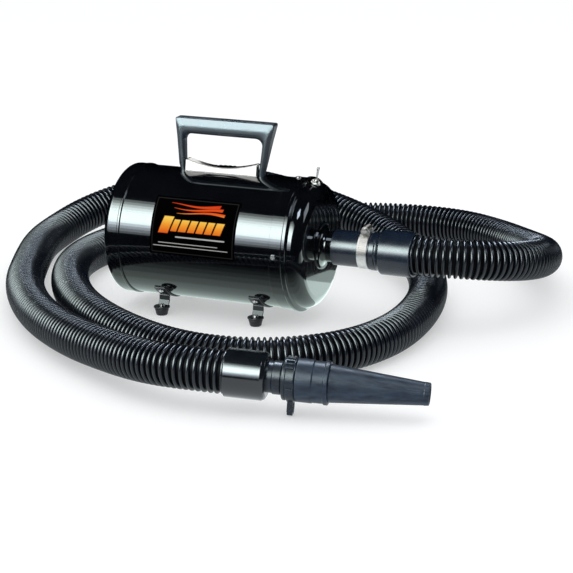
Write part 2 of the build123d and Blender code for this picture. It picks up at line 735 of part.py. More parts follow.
with BuildPart() as bearing_1:
    with BuildSketch(Plane.XZ):
        with BuildLine():
            Polyline(*prof([(112.6, 4.02), (112.6, 11.0), (119.6, 11.0), (119.6, 4.02)]), close=True)
        make_face()
    revolve(axis=body_axis)
finish(bearing_1, "fan_end_bearing")

with BuildPart() as bearing_2:
    with BuildSketch(Plane.XZ):
        with BuildLine():
            Polyline(*prof([(180.4, 4.02), (180.4, 9.0), (185.6, 9.0), (185.6, 4.02)]), close=True)
        make_face()
    revolve(axis=body_axis)
finish(bearing_2, "brush_end_bearing")

with BuildPart() as brush_holders:
    for s in (1, -1):
        with BuildSketch(Plane(origin=(X(172), s * 17, axis_z), x_dir=(1, 0, 0),
                               z_dir=(0, s, 0))):
            Rectangle(9, 10)
            Rectangle(6.4, 7.4, mode=Mode.SUBTRACT)
        extrude(amount=22)
        with BuildSketch(Plane(origin=(X(172), s * 39.0, axis_z), x_dir=(1, 0, 0),
                               z_dir=(0, s, 0))):
            Rectangle(9, 10)
        extrude(amount=2)
finish(brush_holders, "brush_holders")

with BuildPart() as brushes:
    for s in (1, -1):
        with BuildSketch(Plane(origin=(X(172), s * 13.3, axis_z), x_dir=(1, 0, 0),
                               z_dir=(0, s, 0))):
            Rectangle(6.2, 7.2)
        extrude(amount=15)
finish(brushes, "carbon_brushes")

with BuildPart() as motor_support:
    with BuildSketch(Plane(origin=(X(150), 0, axis_z), x_dir=(0, 1, 0), z_dir=(1, 0, 0))):
        Circle(81.0)
        Circle(76.0, mode=Mode.SUBTRACT)
        Circle(51.0)
        Circle(45.2, mode=Mode.SUBTRACT)
        with PolarLocations(63.5, 3, start_angle=90):
            Rectangle(29, 12)
    extrude(amount=6)
finish(motor_support, "rubber_motor_mount")

with BuildPart() as foam_liner:
    with BuildSketch(Plane.XZ):
        with BuildLine():
            Polyline(*prof([(157, 72), (157, 81.0), (219, 81.0), (219, 72)]), close=True)
        make_face()
    revolve(axis=body_axis)
    for x in handle_screw_x:
        with BuildSketch(radial(0, 70, x)):
            Circle(6)
        extrude(amount=14, mode=Mode.SUBTRACT)
    for a in (rivet_angle, -rivet_angle):
        with BuildSketch(radial(a, 70, x_feet[1])):
            Circle(5)
        extrude(amount=14, mode=Mode.SUBTRACT)
finish(foam_liner, "foam_liner")

# ---------------------------------------------------------------- hose
# Route of the hose's centre line, in body stations: out of the cuff, round to
# the right and back behind the blower, once round the blower on the floor,
# under the outlet, over itself behind the blower and round again to the front.
route_path = [
    (372.0, 0.0, 97.5), (402.0, 0.0, 97.5), (440.0, 9.0, 96.0), (474.0, 32.0, 91.5),
    (497.0, 67.0, 84.5), (506.0, 111.0, 76.0), (503.0, 160.0, 66.0), (490.0, 214.0, 54.0),
    (467.0, 272.0, 41.5), (433.0, 331.0, 31.0), (384.0, 388.0, 25.0), (322.0, 423.5, 25.0),
    (248.5, 430.5, 25.0), (171.5, 414.0, 25.0), (93.5, 379.5, 25.0), (18.5, 330.5, 25.0),
    (-47.0, 270.5, 25.0), (-95.5, 200.5, 25.0), (-118.0, 122.5, 25.0), (-112.5, 36.5, 25.0),
    (-69.0, -57.5, 25.0), (1.0, -145.5, 25.0), (92.5, -214.5, 25.0), (187.0, -254.5, 25.0),
    (276.5, -245.0, 25.0), (348.5, -192.5, 25.0), (386.0, -111.0, 25.0), (391.0, -10.0, 25.0),
    (374.0, 93.0, 26.5), (333.5, 185.0, 33.0), (264.5, 254.0, 48.5), (167.0, 295.0, 68.0),
    (60.5, 323.0, 80.5), (-31.0, 344.5, 81.5), (-103.5, 334.0, 68.0), (-161.0, 298.0, 53.0),
    (-198.5, 244.0, 39.0), (-211.5, 180.5, 27.0), (-203.5, 114.5, 25.0), (-171.5, 28.5, 25.0),
    (-124.5, -79.5, 26.0), (-49.0, -183.5, 28.0), (38.0, -260.0, 31.0), (116.0, -308.5, 36.0),
    (179.5, -343.0, 42.0), (239.6, -354.3, 45.7), (288.6, -344.5, 43.1),
]
route = [Vector(X(x), y, z) for x, y, z in route_path]
runs = [(b - a).length for a, b in zip(route, route[1:])]
turns = [(b - a).get_angle(c - b)
         for a, b, c in zip(route, route[1:], route[2:])]
radii = [0.45 * min(runs[i], runs[i + 1]) / tan(radians(turns[i]) / 2) for i in range(len(turns))]
print("hose runs", [round(v) for v in runs])
print("hose turns", [round(v, 1) for v in turns])
print("hose radii in diameters", [round(v / (2 * r_hose), 2) for v in radii])

with BuildPart() as hose:
    with BuildLine() as path:
        FilletPolyline(*route, radius=radii)
    first = Plane(origin=route[0], z_dir=route[1] - route[0])
    with BuildSketch(first):
        Circle(r_hose)
        Circle(r_hose - t_hose, mode=Mode.SUBTRACT)
    sweep()
hose_len = path.wires()[0].length
hose_area = pi * (r_hose ** 2 - (r_hose - t_hose) ** 2)
print("hose length", round(hose_len, 1), "volume ratio",
      round(hose.part.volume / (hose_area * hose_len), 4))
finish(hose, "hose")

# ---------------------------------------------------------------- nozzle end
h, d = radians(nozzle_heading), radians(nozzle_drop)
nz_dir = Vector(cos(d) * cos(h), cos(d) * sin(h), -sin(d))
nz_org = Vector(X(nozzle_at[0]), nozzle_at[1], nozzle_at[2])
nz_side = Vector(sin(h), -cos(h), 0)          # level, towards the viewer's side
nz_axis = Axis(nz_org, nz_dir)
nz_plane = Plane(origin=nz_org, x_dir=nz_dir, z_dir=nz_side)


def nz_cross(s):
    """Plane across the nozzle's axis; its local Y is level, its X points down."""
    return Plane(origin=nz_org + nz_dir * s, x_dir=nz_dir.cross(nz_side), z_dir=nz_dir)


with BuildPart() as nozzle_cuff:
    with BuildSketch(nz_plane):
        with BuildLine():
            Polyline((-68.4, 25.15), (-68.4, 26.6), (-67.8, 27.2), (-26.5, 27.2), (-23.4, 25.6),
                     (-22.0, 22.6), (-22.0, 17.45), (-29.0, 17.45), (-29.0, 21.0), (-58.4, 21.0),
                     (-58.4, 25.15), close=True)
        make_face()
    revolve(axis=nz_axis)
finish(nozzle_cuff, "nozzle_end_cuff")

with BuildPart() as swivel:
    with BuildSketch(nz_plane):
        with BuildLine():
            Polyline((-33.0, 14.6), (-33.0, 20.6), (-29.4, 20.6), (-29.4, 17.4), (-16.0, 17.4),
                     (-15.0, 18.6), (-6.6, 18.6), (-5.8, 17.4), (38.0, 17.4), (40.0, 16.8),
                     (40.0, 14.6), close=True)
        make_face()
    revolve(axis=nz_axis)
finish(swivel, "swivel_connector")

tab_angle = -10.0         # from straight down, towards the label side
with BuildPart() as lock_ring:
    with BuildSketch(nz_cross(-4.3)):
        Circle(23.8)
        Circle(17.45, mode=Mode.SUBTRACT)
    extrude(amount=14.1)
    # grip ribs on the upper half
    with BuildSketch(nz_cross(-2.3)):
        with PolarLocations(24.2, 9, start_angle=180 - 52 - tab_angle, angular_range=104):
            Rectangle(2.4, 2.6)
    extrude(amount=10.1)
    # thumb tab
    with BuildSketch(nz_cross(2.2)):
        with BuildLine():
            ta = radians(tab_angle)
            cs, sn = cos(ta), sin(ta)
            T = lambda u, v: (u * cs - v * sn, u * sn + v * cs)
            Line(T(20, -8.0), T(38.4, -5.2))
            ThreePointArc(T(38.4, -5.2), T(39.9, 0), T(38.4, 5.2))
            Line(T(38.4, 5.2), T(20, 8.0))
            Line(T(20, 8.0), T(20, -8.0))
        make_face()
    extrude(amount=6.6)
finish(lock_ring, "lock_ring")

with BuildPart() as coupler:
    with BuildSketch(nz_plane):
        with BuildLine():
            Polyline((10.3, 17.5), (10.3, 23.0), (11.2, 24.0), (28.0, 24.0), (29.5, 23.4),
                     (40.5, 23.2), (42.0, 24.4), (45.4, 24.4), (46.4, 23.4), (46.4, 17.5),
                     close=True)
        make_face()
    revolve(axis=nz_axis)
finish(coupler, "nozzle_coupler")

with BuildPart() as nozzle:
    with BuildSketch(nz_plane):
        with BuildLine():
            Polyline((40.6, 14.4), (40.6, 17.4), (46.7, 17.4), (46.7, 21.0), (49.0, 21.0),
                     (153.6, r_tip + 0.3), (155.7, r_tip), (155.7, 9.5), (140.0, 9.5),
                     (60.0, 14.4), close=True)
        make_face()
    revolve(axis=nz_axis)
finish(nozzle, "air_nozzle")

print(len(pieces), "pieces", pieces)
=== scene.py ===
"""Looks of the pet dryer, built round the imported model. Everything is in metres, in the model's own frame."""
import json
from math import acos, atan2, cos, pi, radians, sin, sqrt, tan

import bmesh
import bpy
import numpy as np
from mathutils import Matrix, Vector

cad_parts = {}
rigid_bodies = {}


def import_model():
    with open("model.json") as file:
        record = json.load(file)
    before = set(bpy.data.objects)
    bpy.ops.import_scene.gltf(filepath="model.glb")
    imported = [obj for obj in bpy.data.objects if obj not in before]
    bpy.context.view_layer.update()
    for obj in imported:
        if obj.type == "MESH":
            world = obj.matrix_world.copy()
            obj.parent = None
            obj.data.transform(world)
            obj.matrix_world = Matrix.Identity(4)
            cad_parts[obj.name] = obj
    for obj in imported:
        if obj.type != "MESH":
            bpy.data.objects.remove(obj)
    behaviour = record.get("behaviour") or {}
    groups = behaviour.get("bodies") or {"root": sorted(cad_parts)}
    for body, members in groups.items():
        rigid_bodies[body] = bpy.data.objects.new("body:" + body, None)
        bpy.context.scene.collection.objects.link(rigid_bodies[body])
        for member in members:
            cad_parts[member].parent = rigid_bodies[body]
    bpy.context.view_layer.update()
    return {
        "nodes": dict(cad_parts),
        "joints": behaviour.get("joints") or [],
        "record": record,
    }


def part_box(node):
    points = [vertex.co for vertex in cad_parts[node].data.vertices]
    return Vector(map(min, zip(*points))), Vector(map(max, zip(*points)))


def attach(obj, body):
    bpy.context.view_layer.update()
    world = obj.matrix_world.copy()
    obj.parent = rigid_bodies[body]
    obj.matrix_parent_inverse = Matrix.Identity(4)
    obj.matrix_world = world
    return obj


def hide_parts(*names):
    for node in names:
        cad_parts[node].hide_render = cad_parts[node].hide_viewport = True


for o in list(bpy.data.objects):
    bpy.data.objects.remove(o, do_unlink=True)

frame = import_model()
scene = bpy.context.scene
NODES = frame["nodes"]
RECORD = frame["record"]
MM = 0.001

# ------------------------------------------------------------------ places, from the frame
_h0, _h1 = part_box("housing")
AZ = (_h0.z + _h1.z) / 2                     # height of the blower's axis


def X(v):
    """Station along the blower, in mm, to the frame's X."""
    return _h0.x + (v - 5.0) * MM


ORG = Vector((X(0.0), 0.0, AZ))
EX, EY, EZ = Vector((1, 0, 0)), Vector((0, 1, 0)), Vector((0, 0, 1))
JOINT = {j["name"]: j for j in frame["joints"]}
NZ_O = Vector(JOINT["nozzle_swivel"]["pos_m"])
NZ_D = Vector(JOINT["nozzle_swivel"]["axis"]).normalized()
NZ_S = NZ_D.cross(EZ).normalized()           # level, towards the viewer
NZ_DOWN = NZ_D.cross(NZ_S)
if NZ_DOWN.z > 0:
    NZ_S, NZ_DOWN = -NZ_S, -NZ_DOWN

# ------------------------------------------------------------------ camera
az, el = radians(21.643), radians(16.395)
back = Vector((sin(az) * cos(el), -cos(az) * cos(el), sin(el)))
cam = bpy.data.objects.new("camera", bpy.data.cameras.new("camera"))
scene.collection.objects.link(cam)
cam.data.lens, cam.data.sensor_width = 120.54, 36.0
cam.data.clip_start, cam.data.clip_end = 0.05, 50.0
cam.location = Vector((X(211.85), 0.0, 0.039)) + back * 2.4335
cam.rotation_mode = "QUATERNION"
cam.rotation_quaternion = (-back).to_track_quat("-Z", "Y")
scene.camera = cam
scene.view_settings.view_transform = "Standard"


# ------------------------------------------------------------------ materials
def new_material(name):
    m = bpy.data.materials.new(name)
    m.use_nodes = True
    t = m.node_tree
    t.nodes.clear()
    out = t.nodes.new("ShaderNodeOutputMaterial")
    b = t.nodes.new("ShaderNodeBsdfPrincipled")
    t.links.new(b.outputs[0], out.inputs[0])
    return m, t, b


def coords(t, stretch=(1, 1, 1), kind="Object", turn=(0, 0, 0)):
    c = t.nodes.new("ShaderNodeTexCoord")
    p = t.nodes.new("ShaderNodeMapping")
    p.inputs["Scale"].default_value = stretch
    p.inputs["Rotation"].default_value = turn
    t.links.new(c.outputs[kind], p.inputs["Vector"])
    return p.outputs[0]


def noise(t, vec, scale, detail=3.0, rough=0.55):
    n = t.nodes.new("ShaderNodeTexNoise")
    n.inputs["Scale"].default_value = scale
    n.inputs["Detail"].default_value = detail
    n.inputs["Roughness"].default_value = rough
    t.links.new(vec, n.inputs["Vector"])
    return n.outputs["Fac"]


def remap(t, value, a, b, lo, hi):
    n = t.nodes.new("ShaderNodeMapRange")
    for k, v in zip(("From Min", "From Max", "To Min", "To Max"), (a, b, lo, hi)):
        n.inputs[k].default_value = v
    t.links.new(value, n.inputs["Value"])
    return n.outputs[0]


def blend_colour(t, fac, a, b):
    n = t.nodes.new("ShaderNodeMix")
    n.data_type = "RGBA"
    t.links.new(fac, n.inputs[0])
    for socket, v in ((n.inputs[6], a), (n.inputs[7], b)):
        if isinstance(v, (tuple, list)):
            socket.default_value = (*v[:3], 1)
        else:
            t.links.new(v, socket)
    return n.outputs[2]


def calc(t, op, a, b=None):
    n = t.nodes.new("ShaderNodeMath")
    n.operation = op
    for i, v in enumerate((a, b)):
        if v is None:
            continue
        if isinstance(v, (int, float)):
            n.inputs[i].default_value = v
        else:
            t.links.new(v, n.inputs[i])
    return n.outputs[0]


def bumped(t, b, heights):
    """heights: (socket, strength, distance in metres), one over the other."""
    last = None
    for h, strength, dist in heights:
        n = t.nodes.new("ShaderNodeBump")
        n.inputs["Strength"].default_value = strength
        n.inputs["Distance"].default_value = dist
        t.links.new(h, n.inputs["Height"])
        if last is not None:
            t.links.new(last, n.inputs["Normal"])
        last = n.outputs[0]
    t.links.new(last, b.inputs["Normal"])


def finish_of(name, dark, light, rough=(0.2, 0.3), metallic=0.0, coat=0.0, coat_rough=0.03, spec=0.5,
              mottle=60.0, grain=1600.0, grain_depth=0.00002, grain_strength=0.35, stretch=(1, 1, 1),
              smudge=35.0, scratches=0.0, sheen=0.0, streak=(1, 1, 1), extra=None):
    """A procedural finish: colour mottling, uneven gloss, a fine grain, and faint scratches."""
    m, t, b = new_material(name)
    big = noise(t, coords(t, streak), mottle, 4.0)
    t.links.new(blend_colour(t, remap(t, big, 0.3, 0.7, 0, 1), dark, light), b.inputs["Base Color"])
    sm = noise(t, coords(t, (1, 1, 1), turn=(0.4, 0.2, 0.9)), smudge, 5.0, 0.6)
    r = remap(t, sm, 0.32, 0.68, rough[0], rough[1])
    if scratches:
        s1 = noise(t, coords(t, (0.04, 1, 1), turn=(0.3, 0.5, 0.7)), 900.0, 2.0)
        r = calc(t, "ADD", r, remap(t, s1, 0.60, 0.72, 0.0, scratches))
    t.links.new(r, b.inputs["Roughness"])
    fine = noise(t, coords(t, stretch), grain, 2.0)
    heights = [(fine, grain_strength, grain_depth)]
    if extra:
        heights += extra(t)
    bumped(t, b, heights)
    b.inputs["Metallic"].default_value = metallic
    b.inputs["Specular IOR Level"].default_value = spec
    b.inputs["Coat Weight"].default_value = coat
    b.inputs["Coat Roughness"].default_value = coat_rough
    if sheen:
        b.inputs["Sheen Weight"].default_value = sheen
    return m


PAINT = finish_of("gloss_black_enamel", (0.0018, 0.0023, 0.0034), (0.0030, 0.0038, 0.0054), rough=(0.05, 0.10),
                  coat=0.8, coat_rough=0.02, spec=0.5, mottle=25, grain=750, grain_depth=0.000006, grain_strength=0.25,
                  smudge=18, scratches=0.05)
BRACKET = finish_of("bracket_enamel", (0.0025, 0.003, 0.004), (0.006, 0.007, 0.009), rough=(0.28, 0.4), coat=0.1,
                    coat_rough=0.1, spec=0.4, mottle=80, grain=1100, grain_depth=0.00001, scratches=0.08)
HANDLE = finish_of("satin_slate_plastic", (0.006, 0.0130, 0.024), (0.012, 0.0240, 0.040), rough=(0.25, 0.33), spec=0.95,
                   mottle=30, grain=2600, grain_depth=0.00003, grain_strength=0.22, smudge=40, scratches=0.06)
CHROME = finish_of("chrome_plate", (0.80, 0.80, 0.78), (0.92, 0.92, 0.90), rough=(0.05, 0.12), metallic=1.0,
                   mottle=90, grain=900, grain_depth=0.000004, grain_strength=0.15, smudge=70, scratches=0.05)
STAINLESS = finish_of("rolled_stainless", (0.72, 0.72, 0.70), (0.86, 0.86, 0.84), rough=(0.30, 0.40), metallic=1.0,
                      mottle=70, grain=2200, grain_depth=0.00001, grain_strength=0.3, stretch=(1, 0.06, 1),
                      scratches=0.08)
ZINC = finish_of("zinc_plate", (0.60, 0.61, 0.62), (0.82, 0.83, 0.83), rough=(0.16, 0.30), metallic=1.0,
                 mottle=300, grain=2500, grain_depth=0.00001, scratches=0.08)
FOOT = finish_of("foot_rubber", (0.004, 0.004, 0.0045), (0.009, 0.009, 0.0095), rough=(0.38, 0.55), spec=0.4,
                 mottle=200, grain=2200, grain_depth=0.00005, grain_strength=0.5, smudge=120)
CUFF = finish_of("satin_vinyl_cuff", (0.0045, 0.0100, 0.0230), (0.0080, 0.0170, 0.0360), rough=(0.22, 0.30), spec=0.6,
                 coat=0.25, coat_rough=0.2,
                 mottle=45, grain=1800, grain_depth=0.00002, grain_strength=0.15, smudge=50, scratches=0.05)
GLOSSCUFF = finish_of("gloss_vinyl_cuff", (0.004, 0.0058, 0.0085), (0.007, 0.0098, 0.0135), rough=(0.12, 0.18),
                      spec=0.6, coat=0.8, coat_rough=0.10, mottle=45, grain=1500, grain_depth=0.00002,
                      grain_strength=0.15, smudge=45, scratches=0.06)
NYLON = finish_of("black_nylon", (0.005, 0.0095, 0.018), (0.012, 0.0210, 0.036), rough=(0.25, 0.34), spec=0.42,
                  mottle=120, grain=2400, grain_depth=0.00004, grain_strength=0.3, scratches=0.08)
GLAND = finish_of("gland_nylon", (0.006, 0.006, 0.0065), (0.012, 0.012, 0.013), rough=(0.35, 0.5),
                  mottle=150, grain=2600, grain_depth=0.00004)


def _scuffs(t):
    s = noise(t, coords(t, (0.12, 1, 1), turn=(0, 0, radians(11))), 260.0, 4.0)
    return [(s, 0.25, 0.00012)]


NOZZLE = finish_of("slate_rubber", (0.0040, 0.0100, 0.0240), (0.0260, 0.0440, 0.0760), rough=(0.31, 0.44), spec=0.30,
                   mottle=170, streak=(0.13, 1, 1), grain=1700, grain_depth=0.00005, grain_strength=0.35, smudge=60, scratches=0.1,
                   extra=_scuffs)
PHENOLIC = finish_of("black_phenolic", (0.010, 0.009, 0.008), (0.02, 0.018, 0.016), rough=(0.35, 0.5), grain=1500)
ALU = finish_of("spun_aluminium", (0.62, 0.63, 0.64), (0.78, 0.79, 0.80), rough=(0.22, 0.36), metallic=1.0,
                mottle=40, grain=1500, stretch=(0.1, 1, 1), grain_depth=0.00002, scratches=0.1)
CASTALU = finish_of("cast_aluminium", (0.45, 0.46, 0.47), (0.62, 0.63, 0.64), rough=(0.42, 0.6), metallic=1.0,
                    mottle=80, grain=900, grain_depth=0.00008, grain_strength=0.6)
PLATED = finish_of("plated_steel", (0.50, 0.50, 0.48), (0.66, 0.66, 0.64), rough=(0.25, 0.4), metallic=1.0,
                   mottle=60, grain=1500, scratches=0.1)
GROUND = finish_of("ground_steel", (0.6, 0.6, 0.62), (0.72, 0.72, 0.74), rough=(0.14, 0.24), metallic=1.0,
                   grain=2400, stretch=(0.1, 1, 1), grain_depth=0.00001)


def _layers(t):
    w = t.nodes.new("ShaderNodeTexWave")
    w.wave_type, w.bands_direction = "BANDS", "X"
    w.inputs["Scale"].default_value = 320.0
    w.inputs["Distortion"].default_value = 0.3
    t.links.new(coords(t), w.inputs["Vector"])
    return [(w.outputs["Fac"], 0.7, 0.0002)]


def _windings(t):
    w = t.nodes.new("ShaderNodeTexWave")
    w.wave_type, w.bands_direction = "BANDS", "Z"
    w.inputs["Scale"].default_value = 200.0
    w.inputs["Distortion"].default_value = 1.5
    t.links.new(coords(t), w.inputs["Vector"])
    return [(w.outputs["Fac"], 0.9, 0.0005)]


LAMINATED = finish_of("laminated_steel", (0.26, 0.26, 0.28), (0.42, 0.42, 0.44), rough=(0.35, 0.5), metallic=1.0,
                      extra=_layers)
COPPER = finish_of("enamelled_copper", (0.48, 0.17, 0.07), (0.72, 0.32, 0.16), rough=(0.22, 0.38), metallic=1.0,
                   extra=_windings)
BRASS = finish_of("drawn_brass", (0.62, 0.44, 0.18), (0.80, 0.62, 0.30), rough=(0.22, 0.36), metallic=1.0)
CARBON = finish_of("pressed_carbon", (0.02, 0.02, 0.021), (0.05, 0.05, 0.052), rough=(0.45, 0.65), mottle=500)
GASKET = finish_of("soft_rubber", (0.012, 0.012, 0.012), (0.022, 0.022, 0.022), rough=(0.6, 0.8), grain=1500,
                   grain_depth=0.0001)
RINGP = finish_of("moulded_ring", (0.018, 0.018, 0.02), (0.03, 0.03, 0.032), rough=(0.4, 0.55))


def foam(name, dark, light, scale):
    m, t, b = new_material(name)
    v = coords(t)
    cell = t.nodes.new("ShaderNodeTexVoronoi")
    cell.inputs["Scale"].default_value = scale
    t.links.new(v, cell.inputs["Vector"])
    d = cell.outputs["Distance"]
    t.links.new(blend_colour(t, remap(t, d, 0.1, 0.5, 0, 1), light, dark), b.inputs["Base Color"])
    b.inputs["Roughness"].default_value = 0.95
    b.inputs["Sheen Weight"].default_value = 0.25
    bumped(t, b, [(d, 0.9, 0.0012), (noise(t, v, scale * 3), 0.4, 0.0004)])
    return m


FILTER = foam("filter_foam", (0.008, 0.008, 0.009), (0.035, 0.035, 0.038), 420.0)
LINER = foam("liner_foam", (0.05, 0.05, 0.055), (0.14, 0.14, 0.15), 260.0)


def hose_material():
    """Black vinyl: scuffed crests, and painted shade in the grooves, whose colour is made darker than the crests."""
    m, t, b = new_material("corrugated_vinyl")
    a = t.nodes.new("ShaderNodeAttribute")
    a.attribute_name = "crest"
    crest = a.outputs["Fac"]
    v = coords(t)
    big = noise(t, v, 22.0, 4.0)
    body = blend_colour(t, remap(t, big, 0.3, 0.7, 0, 1), (0.0018, 0.0034, 0.0078), (0.0034, 0.0062, 0.0130))
    # painted shade: the grooves get a darker colour than the crests, standing in for the shade that falls in them
    painted_groove_shade = blend_colour(t, remap(t, noise(t, v, 70.0, 4.0), 0.35, 0.75, 0.0, 1.0), (0.0008, 0.0009, 0.0011),
                        (0.0022, 0.0024, 0.0028))
    t.links.new(blend_colour(t, remap(t, crest, 0.05, 0.5, 0.0, 1.0), painted_groove_shade, body), b.inputs["Base Color"])
    sm = remap(t, noise(t, v, 45.0, 5.0), 0.3, 0.7, 0.21, 0.28)
    groove = remap(t, crest, 0.0, 0.6, 0.22, 0.0)
    fleck = remap(t, noise(t, coords(t, (1, 1, 1), turn=(0.7, 0.1, 0.3)), 700.0, 3.0), 0.62, 0.75, 0.0, 0.06)
    t.links.new(calc(t, "ADD", calc(t, "ADD", sm, groove), fleck), b.inputs["Roughness"])
    t.links.new(remap(t, crest, 0.10, 0.85, 0.05, 0.58), b.inputs["Specular IOR Level"])
    b.inputs["Coat Weight"].default_value = 0.0
    bumped(t, b, [(noise(t, v, 900.0, 2.0), 0.12, 0.00002)])
    return m


HOSE = hose_material()


def badge_material():
    """Black printed plate: a thin frame, three leaning warm bars, and two plain rules. No lettering."""
    m, t, b = new_material("printed_badge")
    uv = t.nodes.new("ShaderNodeUVMap")
    uv.uv_map = "plate"
    sep = t.nodes.new("ShaderNodeSeparateXYZ")
    t.links.new(uv.outputs[0], sep.inputs[0])
    u, w = sep.outputs[0], sep.outputs[1]

    def step(value, edge, soft=0.004):
        return remap(t, value, edge - soft, edge + soft, 0.0, 1.0)

    def band(value, lo, hi, soft=0.004):
        return calc(t, "MULTIPLY", step(value, lo, soft), calc(t, "SUBTRACT", 1.0, step(value, hi, soft)))

    lean = calc(t, "SUBTRACT", u, calc(t, "MULTIPLY", w, 0.20))
    bars = None
    for lo, hi, foot, head in ((0.02, 0.135, 0.36, 0.645), (0.155, 0.225, 0.40, 0.60), (0.245, 0.335, 0.40, 0.60),
                               (0.355, 0.435, 0.40, 0.60), (0.455, 0.535, 0.40, 0.60), (0.555, 0.635, 0.40, 0.60),
                               (0.655, 0.745, 0.40, 0.60)):
        one = calc(t, "MULTIPLY", band(lean, lo, hi), band(w, foot, head))
        bars = one if bars is None else calc(t, "ADD", bars, one)
    # three streams of air, tapering to the left
    for k in range(3):
        wave = calc(t, "MULTIPLY", calc(t, "SINE", calc(t, "ADD", calc(t, "MULTIPLY", u, 9.0), 0.9 * k)), 0.022)
        off = calc(t, "ABSOLUTE", calc(t, "SUBTRACT", calc(t, "SUBTRACT", w, wave), 0.865 - 0.068 * k))
        thick = calc(t, "MULTIPLY", calc(t, "SUBTRACT", u, 0.12 + 0.06 * k), 0.042)
        inside_ = remap(t, calc(t, "SUBTRACT", thick, off), -0.004, 0.004, 0.0, 1.0)
        bars = calc(t, "ADD", bars, calc(t, "MULTIPLY", inside_, band(lean, 0.02 + 0.06 * k, 0.60 + 0.05 * k)))
    bars = calc(t, "MINIMUM", bars, 1.0)
    ramp = t.nodes.new("ShaderNodeValToRGB")
    ramp.color_ramp.elements[0].position, ramp.color_ramp.elements[1].position = 0.36, 0.95
    ramp.color_ramp.elements[0].color = (0.80, 0.10, 0.012, 1)
    ramp.color_ramp.elements[1].color = (0.55, 0.02, 0.008, 1)
    for where_, tint in ((0.50, (0.92, 0.33, 0.03, 1)), (0.62, (0.95, 0.62, 0.10, 1)), (0.74, (0.78, 0.10, 0.015, 1))):
        ramp.color_ramp.elements.new(where_).color = tint
    t.links.new(w, ramp.inputs[0])
    rules = calc(t, "ADD", calc(t, "MULTIPLY", band(w, 0.300, 0.322), band(u, 0.30, 0.88)),
                 calc(t, "ADD", calc(t, "MULTIPLY", band(w, 0.195, 0.207), band(u, 0.10, 0.80)),
                      calc(t, "MULTIPLY", band(w, 0.140, 0.152), band(u, 0.04, 0.92))))
    inside = calc(t, "MULTIPLY", band(u, 0.022, 0.978), band(w, 0.032, 0.968))
    deep = calc(t, "MULTIPLY", band(u, 0.030, 0.970), band(w, 0.046, 0.954))
    border = calc(t, "SUBTRACT", inside, deep)
    ink = blend_colour(t, bars, (0.0009, 0.0008, 0.0010), ramp.outputs[0])
    ink = blend_colour(t, calc(t, "MULTIPLY", rules, 0.9), ink, (0.55, 0.55, 0.53))
    ink = blend_colour(t, calc(t, "MULTIPLY", border, 0.06), ink, (0.30, 0.30, 0.30))
    t.links.new(ink, b.inputs["Base Color"])
    v = coords(t)
    t.links.new(remap(t, noise(t, v, 60.0, 4.0), 0.3, 0.7, 0.42, 0.55), b.inputs["Roughness"])
    b.inputs["Specular IOR Level"].default_value = 0.0
    bumped(t, b, [(calc(t, "ADD", bars, rules), 0.3, 0.00003), (noise(t, v, 2000.0), 0.15, 0.00001)])
    return m


BADGE = badge_material()


# ------------------------------------------------------------------ mesh helpers
def link(me, name, mat=None, sharp=32.0):
    o = bpy.data.objects.new(name, me)
    scene.collection.objects.link(o)
    if mat is not None:
        me.materials.clear()
        me.materials.append(mat)
    me.polygons.foreach_set("use_smooth", [True] * len(me.polygons))
    me.set_sharp_from_angle(angle=radians(sharp))
    me.update()
    return o


def true_flats(o):
    """Normals weighted by face area, so that long flats reflect straight."""
    m = o.modifiers.new("flats", "WEIGHTED_NORMAL")
    m.mode, m.weight, m.keep_sharp = "FACE_AREA", 60, True
    return o


def from_bm(bm, name, mat=None, sharp=32.0):
    bmesh.ops.recalc_face_normals(bm, faces=bm.faces)
    me = bpy.data.meshes.new(name)
    bm.to_mesh(me)
    bm.free()
    return link(me, name, mat, sharp)


def arc(cx, cy, r, a0, a1, n=12):
    return [(cx + r * cos(radians(a0 + (a1 - a0) * k / n)), cy + r * sin(radians(a0 + (a1 - a0) * k / n)))
            for k in range(n + 1)]


def fillet(points, n=6, closed=True):
    """Corners (x, y[, radius]) to a line with rounded corners."""
    out = []
    c = len(points)
    for i, p in enumerate(points):
        rad = p[2] if len(p) > 2 else 0.0
        q = Vector(p[:2])
        if rad <= 0 or (not closed and i in (0, c - 1)):
            out.append((q.x, q.y))
            continue
        u, v = Vector(points[i - 1][:2]) - q, Vector(points[(i + 1) % c][:2]) - q
        lu, lv = u.length, v.length
        u, v = u / lu, v / lv
        half = acos(max(-1, min(1, u.dot(v)))) / 2
        if half > pi / 2 - 1e-3:
            out.append((q.x, q.y))
            continue
        lim_u = 0.98 * lu if not (len(points[i - 1]) > 2 and points[i - 1][2] > 0) else 0.49 * lu
        nxt = points[(i + 1) % c]
        lim_v = 0.98 * lv if not (len(nxt) > 2 and nxt[2] > 0) else 0.49 * lv
        tl = min(rad / tan(half), lim_u, lim_v)
        rr = tl * tan(half)
        centre = q + (u + v).normalized() * (rr / sin(half))
        p0, p1 = q + u * tl - centre, q + v * tl - centre
        a0, a1 = atan2(p0.y, p0.x), atan2(p1.y, p1.x)
        d = (a1 - a0 + pi) % (2 * pi) - pi
        for k in range(n + 1):
            a = a0 + d * k / n
            out.append((centre.x + rr * cos(a), centre.y + rr * sin(a)))
    return out


def lathe_bm(bm, profile, origin, axis, ref, n=128, mod=None):
    """Turns a closed (s, r) profile in mm about an axis. mod(angle, s, r) may change r."""
    axis, ref = Vector(axis).normalized(), Vector(ref).normalized()
    side = axis.cross(ref)
    rings = []
    for k in range(n):
        a = 2 * pi * k / n
        d = ref * cos(a) + side * sin(a)
        ring = []
        for s, r in profile:
            rr = mod(a, s, r) if mod else r
            ring.append(bm.verts.new(origin + axis * (s * MM) + d * (rr * MM)))
        rings.append(ring)
    m = len(profile)
    for k in range(n):
        a, b = rings[k], rings[(k + 1) % n]
        for i in range(m):
            j = (i + 1) % m
            if profile[i][1] < 1e-9 and profile[j][1] < 1e-9:
                continue
            bm.faces.new((a[i], a[j], b[j], b[i]))
    return bm


